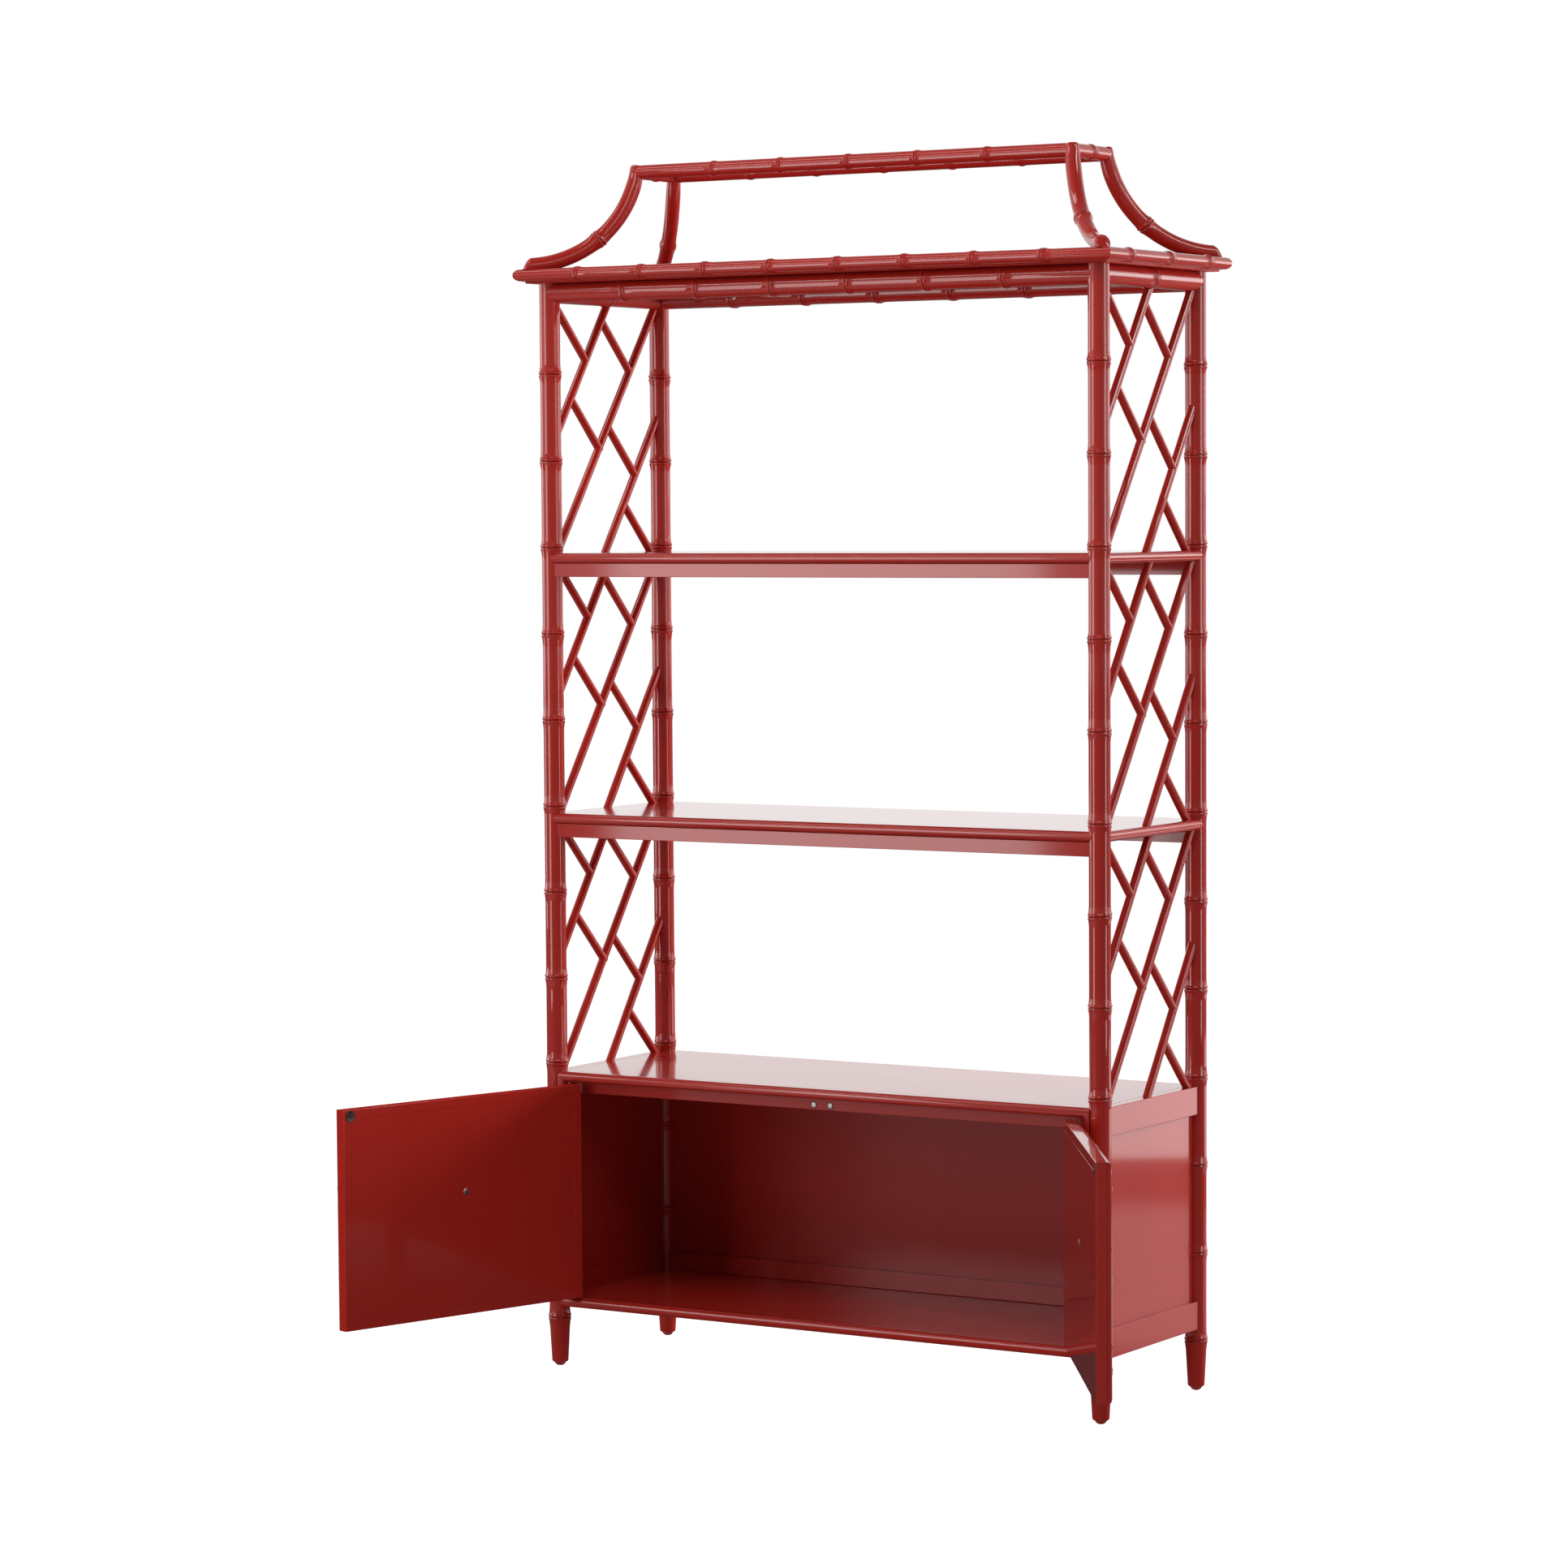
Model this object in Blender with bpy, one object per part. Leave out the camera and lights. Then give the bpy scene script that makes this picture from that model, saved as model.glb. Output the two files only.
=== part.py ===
import math

import bmesh
import bpy
from mathutils import Vector

for old in list(bpy.data.objects):
    bpy.data.objects.remove(old)

# spaces left between neighbouring pieces: flat faces, and hollows fitted to a round
clearance = 0.0003
seat = 0.001

# how far a hole's cutter runs past the face
cut_past = 0.01

# turned bamboo posts, measured between their axes
span_x = 1.093
span_y = 0.3506
post_radius = 0.01905
ring_pitch = 0.1524
ring_width = 0.014
ring_rise = 0.0019
lowest_ring = 0.0885
foot_radius = 0.0146
foot_chamfer = 0.004
glide_height = 0.0064
glide_radius = 0.0065

# cabinet levels
cabinet_top = 0.5309
door_sill = 0.127
bead_height = 0.018
bead_setback = 0.002
floor_thickness = 0.016

# open shelves above the cabinet
shelf_pitch = 0.45985
apron_drop = 0.0235
apron_setback = 0.007
apron_thickness = 0.015

# round aprons under the cornice
apron_radius = 0.0175
apron_height = 1.9075
apron_ring_pitch = 0.1512
apron_rings = 6

# cornice of thin bamboo round the top panel
top_thickness = 0.0215
cornice_radius = 0.011
cornice_overhang = 0.0365
cornice_front_pitch = 0.1316
cornice_front_rings = 8
cornice_side_pitch = 0.1416
cornice_side_rings = 3

# pagoda crest of four swept legs and a small upper frame
crest_radius = 0.0127
sweep_radius = 0.1985
sweep_start = math.radians(9.6)
foot_flat = 0.0063
foot_inset = 0.011
foot_past = 0.003
foot_slant = 0.37
foot_round = 0.002
crest_ring_pitch = 0.137
crest_rings = 5

# lattice of round rods in each open side
rod_radius = 0.0063
cross_radius = 0.0054
cross_slope = 1.0

# cabinet sides, back and front
stile_width = 0.007
frame_back = 0.007
rail_height = 0.0485
rail_thickness = 0.018
rail_setback = 0.008
panel_thickness = 0.006
header_height = 0.0205
header_thickness = 0.012
back_rail_height = 0.033
magnet_radius = 0.0048
magnet_spread = 0.0165
magnet_plate = 0.0025

# doors and their hinges
door_thickness = 0.018
door_side_gap = 0.002
door_meeting_gap = 0.001
door_end_gap = 0.0025
moulding_radius = 0.0085
moulding_ring_rise = 0.0011
moulding_pitch = 0.1524
first_ring_across = 0.141
first_ring_up = 0.084
pin_radius = 0.002
pin_depth = 0.008
pin_offset = 0.0035
flange_radius = 0.0045
flange_thickness = 0.0014
knob_radius = 0.0125
knob_reach = 0.027
knob_lift = 0.025
left_open = math.radians(107.0)
right_open = math.radians(124.0)

# derived lines shared by several pieces
axis_x = span_x / 2
axis_y = span_y / 2
snug = post_radius + seat
past_ring = post_radius + ring_rise + clearance
bead_reach = post_radius - bead_setback
door_head = cabinet_top - bead_height
case_bottom = door_sill - bead_height
opening_half = axis_x - post_radius - stile_width
rail_outer = post_radius - rail_setback
rail_inner = rail_outer - rail_thickness
top_low = apron_height + apron_radius + ring_rise + clearance
cornice_top = top_low + top_thickness
cornice_height = cornice_top - cornice_radius
cornice_x = axis_x + cornice_overhang
cornice_y = axis_y + cornice_overhang
sweep_run = sweep_radius * math.cos(sweep_start) / math.sqrt(2)
crest_x = cornice_x - foot_inset - sweep_run
crest_y = cornice_y - foot_inset - sweep_run
sweep_centre = cornice_top + crest_radius - foot_flat + sweep_radius
crest_height = sweep_centre - sweep_radius * math.sin(sweep_start)
door_height = door_head - door_sill - 2 * door_end_gap
door_width = opening_half - door_side_gap - door_meeting_gap
pivot_x = opening_half - door_side_gap - moulding_radius
door_back = frame_back - clearance
pivot_y = -axis_y + door_back - door_thickness - pin_offset
door_depth = pin_offset + door_thickness
corner_swing = math.hypot(moulding_radius, door_depth) - door_depth

red = (0.36, 0.032, 0.02)
steel = (0.62, 0.62, 0.6)
brass = (0.55, 0.4, 0.17)
iron = (0.05, 0.045, 0.04)


# one Principled finish for one piece
def finish(name, colour, roughness, metallic):
    slot = bpy.data.materials.new(name)
    slot.use_nodes = True
    shader = slot.node_tree.nodes["Principled BSDF"]
    shader.inputs["Base Color"].default_value = (colour[0], colour[1], colour[2], 1.0)
    shader.inputs["Roughness"].default_value = roughness
    shader.inputs["Metallic"].default_value = metallic
    return slot


# a named object from points and faces, all faces turned outward
def body(name, shape, colour=red, roughness=0.14, metallic=0.0):
    points, faces = shape
    mesh = bpy.data.meshes.new(name)
    mesh.from_pydata([tuple(point) for point in points], [], faces)
    work = bmesh.new()
    work.from_mesh(mesh)
    bmesh.ops.recalc_face_normals(work, faces=work.faces[:])
    work.to_mesh(mesh)
    work.free()
    mesh.polygons.foreach_set("use_smooth", [True] * len(mesh.polygons))
    mesh.set_sharp_from_angle(angle=math.radians(38))
    mesh.materials.append(finish(name, colour, roughness, metallic))
    piece = bpy.data.objects.new(name, mesh)
    bpy.context.scene.collection.objects.link(piece)
    return piece


# sides between equal loops, with both ends closed
def skin(loops, ring=False):
    count = len(loops[0])
    rows = len(loops)
    points = [point for loop in loops for point in loop]
    faces = []
    for row in range(rows if ring else rows - 1):
        here = row * count
        above = ((row + 1) % rows) * count
        for i in range(count):
            j = (i + 1) % count
            faces.append((here + i, here + j, above + j, above + i))
    if not ring:
        faces.append(tuple(range(count)))
        faces.append(tuple(range((rows - 1) * count, rows * count)))
    return points, faces


# like skin, but each end is closed by strips that follow a hollow or mitred end
def strip_skin(loops):
    count = len(loops[0])
    points, faces = skin(loops)
    del faces[-2:]
    for start in (0, (len(loops) - 1) * count):
        half = count // 2
        faces.append((start, start + 1, start + count - 1))
        for i in range(1, half - 1):
            faces.append((start + i, start + i + 1, start + count - i - 1, start + count - i))
        faces.append((start + half - 1, start + half, start + half + 1))
    return points, faces


# several closed shapes put in one list
def gather(shapes):
    points = []
    faces = []
    for more_points, more_faces in shapes:
        start = len(points)
        points.extend(more_points)
        faces.extend(tuple(start + i for i in face) for face in more_faces)
    return points, faces


# exact joining or cutting of two closed shapes
def combined(shape, tool, operation):
    first = body("first", shape)
    second = body("second", tool)
    step = first.modifiers.new("step", "BOOLEAN")
    step.operation = operation
    step.solver = "EXACT"
    step.object = second
    graph = bpy.context.evaluated_depsgraph_get()
    mesh = bpy.data.meshes.new_from_object(first.evaluated_get(graph))
    points = [tuple(vertex.co) for vertex in mesh.vertices]
    faces = [tuple(polygon.vertices) for polygon in mesh.polygons]
    bpy.data.objects.remove(first)
    bpy.data.objects.remove(second)
    return points, faces


# straight-sided block from a flat outline
def prism(outline, low, high):
    return skin([[(x, y, low) for x, y in outline], [(x, y, high) for x, y in outline]])


def block(x0, x1, y0, y1, low, high):
    return prism([(x0, y0), (x1, y0), (x1, y1), (x0, y1)], low, high)


# radii along a bamboo shaft, with raised rings at the given places
def bamboo(start, stop, rings, radius, rise, double):
    half = ring_width / 2
    stations = [(start, radius)]
    for centre in rings:
        stations.append((centre - half, radius))
        if double:
            stations.append((centre - half * 0.45, radius + rise))
            stations.append((centre, radius + rise * 0.4))
            stations.append((centre + half * 0.45, radius + rise))
        else:
            stations.append((centre, radius + rise))
        stations.append((centre + half, radius))
    stations.append((stop, radius))
    return stations


# places of evenly spaced rings about the middle, those that fit between two ends
def spaced(count, pitch, half):
    spots = [(i - (count - 1) / 2) * pitch for i in range(count)]
    return [spot for spot in spots if abs(spot) < half - ring_width]


# a round bar; reach gives the half length for each distance out from the case
def round_bar(place, reach, stations, sides):
    loops = []
    last = len(stations) - 1
    for index, (along, radius) in enumerate(stations):
        loop = []
        for i in range(sides):
            turn = 2 * math.pi * i / sides
            out = radius * math.cos(turn)
            spot = along
            if index == 0:
                spot = -reach(out)
            if index == last:
                spot = reach(out)
            loop.append(place(spot, out, radius * math.sin(turn)))
        loops.append(loop)
    return strip_skin(loops)


# a turned shape about a vertical line
def turned(x, y, stations, sides):
    loops = []
    for height, radius in stations:
        loop = []
        for i in range(sides):
            turn = 2 * math.pi * i / sides
            loop.append((x + radius * math.cos(turn), y + radius * math.sin(turn), height))
        loops.append(loop)
    return skin(loops)


# one corner of a board, hollowed round its post, from the front or rear edge to the side edge
def corner_arc(sign_x, sign_y, reach_side, reach_end, steps):
    first = math.atan2(reach_end, -math.sqrt(snug ** 2 - reach_end ** 2)) % (2 * math.pi)
    last = math.atan2(-math.sqrt(snug ** 2 - reach_side ** 2), reach_side) % (2 * math.pi)
    arc = []
    for i in range(steps + 1):
        turn = first + (last - first) * i / steps
        arc.append((sign_x * (axis_x + snug * math.cos(turn)), sign_y * (axis_y + snug * math.sin(turn))))
    return arc


# outline of a board hollowed round the four posts
def notched(reach_side, reach_front, reach_rear, steps):
    outline = corner_arc(1, -1, reach_side, reach_front, steps)
    outline += reversed(corner_arc(1, 1, reach_side, reach_rear, steps))
    outline += corner_arc(-1, 1, reach_side, reach_rear, steps)
    outline += reversed(corner_arc(-1, -1, reach_side, reach_front, steps))
    return outline


# outline of a straight strip along the case, both ends hollowed to the posts
def coped(half, near, far):
    right = []
    for i in range(5):
        off = near + (far - near) * i / 4
        right.append((half - math.sqrt(snug ** 2 - off ** 2), off))
    return right + [(-along, off) for along, off in reversed(right)]


# places of rings at an even pitch from the first one, as far as they fit below the end
def rising(first, pitch, stop):
    count = 1 + int((stop - ring_width - first) / pitch)
    return [first + i * pitch for i in range(count)]


# posts, feet and glides
post_top = top_low - clearance
for side, sign_x in (("left", -1), ("right", 1)):
    for end, sign_y in (("front", -1), ("rear", 1)):
        rings = rising(lowest_ring, ring_pitch, post_top)
        foot = glide_height + clearance
        shaft = bamboo(foot, post_top, rings, post_radius, ring_rise, True)
        shaft[0] = (foot, foot_radius - foot_chamfer)
        shaft.insert(1, (foot + foot_chamfer, foot_radius))
        body(end + "_" + side + "_post", turned(sign_x * axis_x, sign_y * axis_y, shaft, 10))
        dome = [(0.0, glide_radius * 0.6), (glide_height * 0.3, glide_radius), (glide_height, glide_radius)]
        glide = turned(sign_x * axis_x, sign_y * axis_y, dome, 12)
        body(end + "_" + side + "_glide", glide, iron, 0.45, 0.6)


# half length of an apron at a distance out from the case, fitted to the post and to its neighbour
def apron_reach(half):
    return lambda out: half - max(math.sqrt(snug ** 2 - out ** 2), seat - out)


# half length of a crest rail, fitted to the swept legs in the same way
def crest_reach(half):
    hollow = crest_radius + seat
    return lambda out: half - max(math.sqrt(hollow ** 2 - out ** 2), seat - out)


# half length of a rail mitred at the corners
def mitre_reach(half):
    return lambda out: half + out - clearance


# the four members of a round frame, named and set out from the case middle
def round_frame(name, half_x, half_y, height, radius, reach, long_rings, short_rings, double, sides):
    for end, sign in (("front", -1), ("rear", 1)):
        shaft = bamboo(-half_x, half_x, long_rings, radius, ring_rise, double)
        place = lambda s, out, up: (s, sign * (half_y + out), height + up)
        body(end + "_" + name, round_bar(place, reach(half_x), shaft, sides))
    for end, sign in (("left", -1), ("right", 1)):
        shaft = bamboo(-half_y, half_y, short_rings, radius, ring_rise, double)
        place = lambda s, out, up: (sign * (half_x + out), s, height + up)
        body(end + "_" + name, round_bar(place, reach(half_y), shaft, sides))


long_rings = spaced(apron_rings, apron_ring_pitch, axis_x - snug)
round_frame("apron", axis_x, axis_y, apron_height, apron_radius, apron_reach, long_rings, [0.0], True, 10)
long_rings = spaced(cornice_front_rings, cornice_front_pitch, cornice_x - cornice_radius)
short_rings = spaced(cornice_side_rings, cornice_side_pitch, cornice_y - cornice_radius)
round_frame("cornice", cornice_x, cornice_y, cornice_height, cornice_radius, mitre_reach,
            long_rings, short_rings, False, 8)
long_rings = spaced(crest_rings, crest_ring_pitch, crest_x - crest_radius)
round_frame("crest_rail", crest_x, crest_y, crest_height, crest_radius, crest_reach,
            long_rings, [0.0], False, 10)
inner_x = cornice_x - cornice_radius - ring_rise - clearance
inner_y = cornice_y - cornice_radius - ring_rise - clearance
body("top_panel", block(-inner_x, inner_x, -inner_y, inner_y, top_low, cornice_top))


# one swept leg of the crest, bent in the upright plane through its corner, with a domed top
def crest_leg(sign_x, sign_y):
    sides = 10
    steps = 9
    floor = cornice_top + clearance
    half_turn = ring_width / 2 / sweep_radius
    middle = (sweep_start + math.pi / 2) / 2
    bends = [(sweep_start + (math.pi / 2 - sweep_start) * i / steps, 1.0) for i in range(steps)]
    bends = [bend for bend in bends if abs(bend[0] - middle) > half_turn * 1.5]
    bends += [(middle - half_turn, 1.0), (middle, 1.0 + ring_rise / crest_radius), (middle + half_turn, 1.0)]
    bends.sort()
    stations = []
    for tilt in (72, 50, 25):
        dome = math.radians(tilt)
        stations.append((sweep_start, math.cos(dome), crest_radius * math.sin(dome), 0.0))
    stations += [(bend, scale, 0.0, 0.0) for bend, scale in bends]
    stations.append((math.pi / 2, 1.0, foot_round - foot_past, foot_slant))
    stations.append((math.pi / 2, 1.0 - foot_round / crest_radius, -foot_past, foot_slant))
    loops = []
    for bend, scale, rise, slant in stations:
        loop = []
        for i in range(sides):
            turn = 2 * math.pi * i / sides
            sideways = crest_radius * scale * math.cos(turn)
            lift = crest_radius * scale * math.sin(turn)
            inner = sweep_radius - lift
            run = sweep_radius * math.cos(sweep_start) - inner * math.cos(bend) - rise * math.sin(bend)
            run -= slant * (lift + crest_radius)
            height = max(sweep_centre - inner * math.sin(bend) + rise * math.cos(bend), floor)
            out_x = (run - sideways) / math.sqrt(2)
            out_y = (run + sideways) / math.sqrt(2)
            loop.append((sign_x * (crest_x + out_x), sign_y * (crest_y + out_y), height))
        loops.append(loop)
    return skin(loops)


for side, sign_x in (("left", -1), ("right", 1)):
    for end, sign_y in (("front", -1), ("rear", 1)):
        body(end + "_" + side + "_crest_leg", crest_leg(sign_x, sign_y))


# bull-nosed board: straight edges rounded, hollows round the posts kept true
def nosed_board(top):
    radius = bead_height / 2
    loops = []
    for i in range(5):
        turn = math.pi * (i / 4 - 0.5)
        reach = bead_reach - radius * (1 - math.cos(turn))
        height = top - radius + radius * math.sin(turn)
        loops.append([(x, y, height) for x, y in notched(reach, reach, reach, 8)])
    return skin(loops)


shelf_tops = [cabinet_top + shelf_pitch, cabinet_top + 2 * shelf_pitch]
for name, top in zip(("lower_shelf", "upper_shelf"), shelf_tops):
    body(name, nosed_board(top))
    high = top - bead_height - clearance
    for end, sign in (("front", -1), ("rear", 1)):
        outer = post_radius - apron_setback
        strip = coped(axis_x, outer - apron_thickness, outer)
        outline = [(along, sign * (axis_y + off)) for along, off in strip]
        body(name + "_" + end + "_apron", prism(outline, high - apron_drop, high))


# round rod along a line in the side of the case, cut square across the line at each end
def rod(x, first, last, radius):
    sides = 8
    along = (last - first).normalized()
    across = Vector((0.0, -along.z, along.y))
    loops = []
    for spot in (first, last):
        loop = []
        for i in range(sides):
            turn = 2 * math.pi * (i + 0.5) / sides
            sideways = Vector((x + radius * math.sin(turn), 0.0, 0.0))
            loop.append(spot + across * radius * math.cos(turn) + sideways)
        loops.append(loop)
    return skin(loops)


# fret of three long rods leaning back and five short cross rods, joined in one piece and cut to its bay
def lattice(x, low, high):
    tall = high - low
    post = axis_y - snug
    lean = math.atan2(tall, 2 * post)
    reach = post - rod_radius / math.sin(lean) - clearance
    slope = tall / (2 * reach)
    past = 4 * rod_radius
    levels = (high, (low + high) / 2, low)
    ends = ((-post, reach), (-post, reach), (-reach, post))

    # point of a long rod that crosses the middle of the bay at this level
    def on_long(level, depth):
        return Vector((0.0, depth, level + slope * depth))

    long_rods = []
    for level, (front, rear) in zip(levels, ends):
        first = on_long(level, front)
        last = on_long(level, rear)
        if level == levels[1]:
            first = Vector((0.0, -post, low))
        along = (last - first).normalized()
        long_rods.append(rod(x, first - along * past, last + along * past, rod_radius))
    fall = Vector((0.0, 1.0, -cross_slope)).normalized()

    # where a cross rod of this share of the height meets a long rod, run on by a lap
    def meeting(share, level, lap):
        depth = (low + share * tall - level) / (slope + cross_slope)
        return on_long(level, depth) + fall * lap

    # where a cross rod of this share of the height passes a given depth
    def passing(share, depth):
        return Vector((0.0, depth, low + share * tall - cross_slope * depth))

    lap = rod_radius * 0.4
    upper, middle, lower = levels
    crosses = []
    crosses.append((passing(0.615, -post - past), meeting(0.615, upper, lap)))
    crosses.append((meeting(0.914, upper, 0.0), meeting(0.914, middle, lap)))
    crosses.append((meeting(0.355, upper, 0.0), meeting(0.355, middle, lap)))
    crosses.append((meeting(0.52, middle, 0.0), meeting(0.52, lower, lap)))
    crosses.append((meeting(0.317, lower, 0.0), passing(0.317, post + past)))
    cross_rods = [rod(x, first, last, cross_radius) for first, last in crosses]
    fret = combined(gather(long_rods), gather(cross_rods), "UNION")
    bay = block(x - past, x + past, -post, post, low, high)
    return combined(fret, bay, "INTERSECT")


floors = [cabinet_top] + shelf_tops
ceilings = [top - bead_height for top in shelf_tops] + [apron_height - apron_radius - ring_rise]
for tier, low, high in zip(("lower", "middle", "upper"), floors, ceilings):
    for side, sign in (("left", -1), ("right", 1)):
        body(side + "_" + tier + "_lattice", lattice(sign * axis_x, low + clearance, high - clearance))

# cabinet boards
front_back = -frame_back - clearance
side_inner = rail_inner - clearance
high = cabinet_top - bead_height - clearance
body("cabinet_top", prism(notched(side_inner, front_back, 0.0, 4), door_head, cabinet_top))
back_face = -panel_thickness / 2 - clearance
floor_outline = notched(side_inner, front_back, back_face, 4)
body("cabinet_floor", prism(floor_outline, door_sill - floor_thickness, door_sill))
between = axis_x - past_ring
back = axis_y - panel_thickness / 2
body("back_panel", block(-between, between, back, axis_y + panel_thickness / 2, case_bottom, high))
low = door_sill + clearance
rail_near = back - clearance - header_thickness
body("back_rail", block(-between, between, rail_near, back - clearance, low, low + back_rail_height))
for side, sign in (("left", -1), ("right", 1)):
    strip = coped(axis_y, rail_inner, rail_outer)
    outline = [(sign * (axis_x + off), along) for along, off in strip]
    upper_low = cabinet_top - rail_height
    lower_high = case_bottom + rail_height
    body(side + "_upper_rail", prism(outline, upper_low, cabinet_top))
    body(side + "_lower_rail", prism(outline, case_bottom, lower_high))
    half = panel_thickness / 2
    deep = axis_y - past_ring
    edges = sorted((sign * (axis_x - half), sign * (axis_x + half)))
    panel = block(edges[0], edges[1], -deep, deep, lower_high + clearance, upper_low - clearance)
    body(side + "_side_panel", panel)


# beaded frame round the door opening, its uprights hollowed to the posts
def door_frame():
    radius = bead_height / 2
    face = -axis_y - bead_reach
    profile = [(0.0, -axis_y + frame_back)]
    for i in range(7):
        turn = math.pi * i / 6
        profile.append((radius - radius * math.cos(turn), face + radius - radius * math.sin(turn)))
    deep = frame_back + bead_reach - radius
    for i in range(1, 5):
        profile.append((bead_height, face + radius + deep * i / 4))
    loops = []
    for sign_x, sign_z in ((-1, -1), (1, -1), (1, 1), (-1, 1)):
        loop = []
        for out, y in profile:
            room = axis_x - math.sqrt((past_ring + clearance) ** 2 - (y + axis_y) ** 2) - opening_half
            x = sign_x * (opening_half + out * room / bead_height)
            z = door_head + out if sign_z > 0 else door_sill - out
            loop.append((x, y, z))
        loops.append(loop)
    return skin(loops, True)


body("door_frame", door_frame())


# a round stub along the depth of the case
def stub(x, z, radius, near, far):
    loops = []
    for y in (near, far):
        loop = []
        for i in range(12):
            turn = 2 * math.pi * i / 12
            loop.append((x + radius * math.cos(turn), y, z + radius * math.sin(turn)))
        loops.append(loop)
    return skin(loops)


# header behind the doors, clear of their swinging corners, with its twin magnet catch reaching the doors
magnet_tip = -axis_y + frame_back + clearance
near = magnet_tip + corner_swing + clearance
far = near + header_thickness
header_low = high - header_height
centre = (header_low + high) / 2
header = block(-between, between, near, far, header_low, high)
bores = []
for sign in (-1, 1):
    hole = magnet_radius + clearance
    bores.append(stub(sign * magnet_spread, centre, hole, near - cut_past, far + cut_past))
body("header", combined(header, gather(bores), "DIFFERENCE"))
plate_near = far + clearance
plate_half = magnet_spread + magnet_radius * 1.6
plate_edge = magnet_radius * 1.4
plate_far = plate_near + magnet_plate
plate = block(-plate_half, plate_half, plate_near, plate_far, centre - plate_edge, centre + plate_edge)
stubs = []
for sign in (-1, 1):
    root = plate_near + magnet_plate / 2
    stubs.append(stub(sign * magnet_spread, centre, magnet_radius, magnet_tip, root))
body("magnet_catch", combined(plate, gather(stubs), "UNION"), steel, 0.3, 0.9)


# half-round bamboo moulding mitred round a door, before its pin holes
def moulding(direction):
    radius = moulding_radius
    wide = door_width - 2 * radius
    tall = door_height - 2 * radius
    half = ring_width / 2
    right = Vector((1.0, 0.0, 0.0))
    up = Vector((0.0, 0.0, 1.0))
    corner = Vector((0.0, 0.0, radius))
    across = rising(first_ring_across, moulding_pitch, wide)
    upright = rising(first_ring_up, moulding_pitch, tall)
    loops = []
    sides = ((right, -up, wide, across), (up, right, tall, upright))
    sides += ((-right, up, wide, [wide - spot for spot in reversed(across)]),)
    sides += ((-up, -right, tall, [tall - spot for spot in reversed(upright)]),)
    before = -right
    for along, out, length, rings in sides:
        stations = [(0.0, before + out, 1.0)]
        for centre in rings:
            stations.append((centre - half, out, 1.0))
            stations.append((centre, out, 1.0 + moulding_ring_rise / radius))
            stations.append((centre + half, out, 1.0))
        for spot, spread, scale in stations:
            loop = []
            for i in range(5):
                turn = math.pi * i / 4
                lift = max(radius * scale * math.sin(turn), clearance)
                point = corner + along * spot + spread * (radius * min(scale, 1.0) * math.cos(turn))
                loop.append((direction * point.x, pin_offset - lift, point.z))
            loops.append(loop)
        corner = corner + along * length
        before = out
    return skin(loops, True)


# upright hole for a hinge pin, on the pivot line
def pin_hole(low, high):
    return turned(0.0, 0.0, [(low, pin_radius + clearance), (high, pin_radius + clearance)], 12)


# doors, built shut about their pivot lines and then swung open
for side, direction, swing in (("left", 1, -left_open), ("right", -1, right_open)):
    pivot = (-direction * pivot_x, pivot_y, door_sill + door_end_gap)
    edge = -moulding_radius
    spots = sorted((direction * edge, direction * (edge + door_width)))
    slab = block(spots[0], spots[1], pin_offset, pin_offset + door_thickness, 0.0, door_height)
    pieces = [body(side + "_door", slab)]
    bore = pin_depth + seat
    holes = [pin_hole(-cut_past, bore), pin_hole(door_height - bore, door_height + cut_past)]
    trim = combined(moulding(direction), gather(holes), "DIFFERENCE")
    pieces.append(body(side + "_door_moulding", trim))
    knob_x = direction * (edge + door_width / 2)
    loops = []
    stem = ((0.0, 0.5), (0.12, 0.5), (0.4, 0.42), (0.52, 0.85), (0.68, 1.0), (0.86, 0.86), (1.0, 0.45))
    for share, wide in stem:
        loop = []
        for i in range(12):
            turn = 2 * math.pi * i / 12
            x = knob_x + knob_radius * wide * math.cos(turn)
            z = door_height / 2 + knob_lift + knob_radius * wide * math.sin(turn)
            loop.append((x, pin_offset - clearance - share * knob_reach, z))
        loops.append(loop)
    pieces.append(body(side + "_door_knob", skin(loops), brass, 0.3, 0.9))
    for piece in pieces:
        piece.location = pivot
        piece.rotation_euler = (0.0, 0.0, swing)
    tip = door_head - door_end_gap - pin_depth
    plate = door_head - clearance - flange_thickness
    stations = [(tip, pin_radius), (plate, pin_radius), (plate, flange_radius)]
    stations.append((plate + flange_thickness, flange_radius))
    body(side + "_upper_hinge_pin", turned(pivot[0], pivot[1], stations, 12), brass, 0.35, 0.9)
    flipped = [(door_head + door_sill - height, radius) for height, radius in reversed(stations)]
    body(side + "_lower_hinge_pin", turned(pivot[0], pivot[1], flipped, 12), brass, 0.35, 0.9)

# the origin goes to the bottom centre of the whole piece as it stands with its doors open
bpy.context.view_layer.update()
spread = []
for piece in bpy.data.objects:
    spread.extend(piece.matrix_world @ vertex.co for vertex in piece.data.vertices)
middle_x = (min(point.x for point in spread) + max(point.x for point in spread)) / 2
middle_y = (min(point.y for point in spread) + max(point.y for point in spread)) / 2
for piece in bpy.data.objects:
    piece.location.x -= middle_x
    piece.location.y -= middle_y
print("origin from the middle of the posts", round(middle_x, 6), round(middle_y, 6))
print("left hinge", round(-pivot_x - middle_x, 6), round(pivot_y - middle_y, 6))
print("right hinge", round(pivot_x - middle_x, 6), round(pivot_y - middle_y, 6))
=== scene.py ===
# %% [markdown]
# # A red lacquered etagere in turned bamboo
# The photograph shows a tall open stand. Four turned posts carry two shelves, a small cabinet with two open
# doors, side frets of thin rods and a pagoda crest, all under one glossy coat of red lacquer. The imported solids
# give every place and size, and these cells dress them. Nothing here moves a solid: each new surface is drawn
# where its solid stands, and then takes that solid's place.

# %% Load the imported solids
import math

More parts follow.
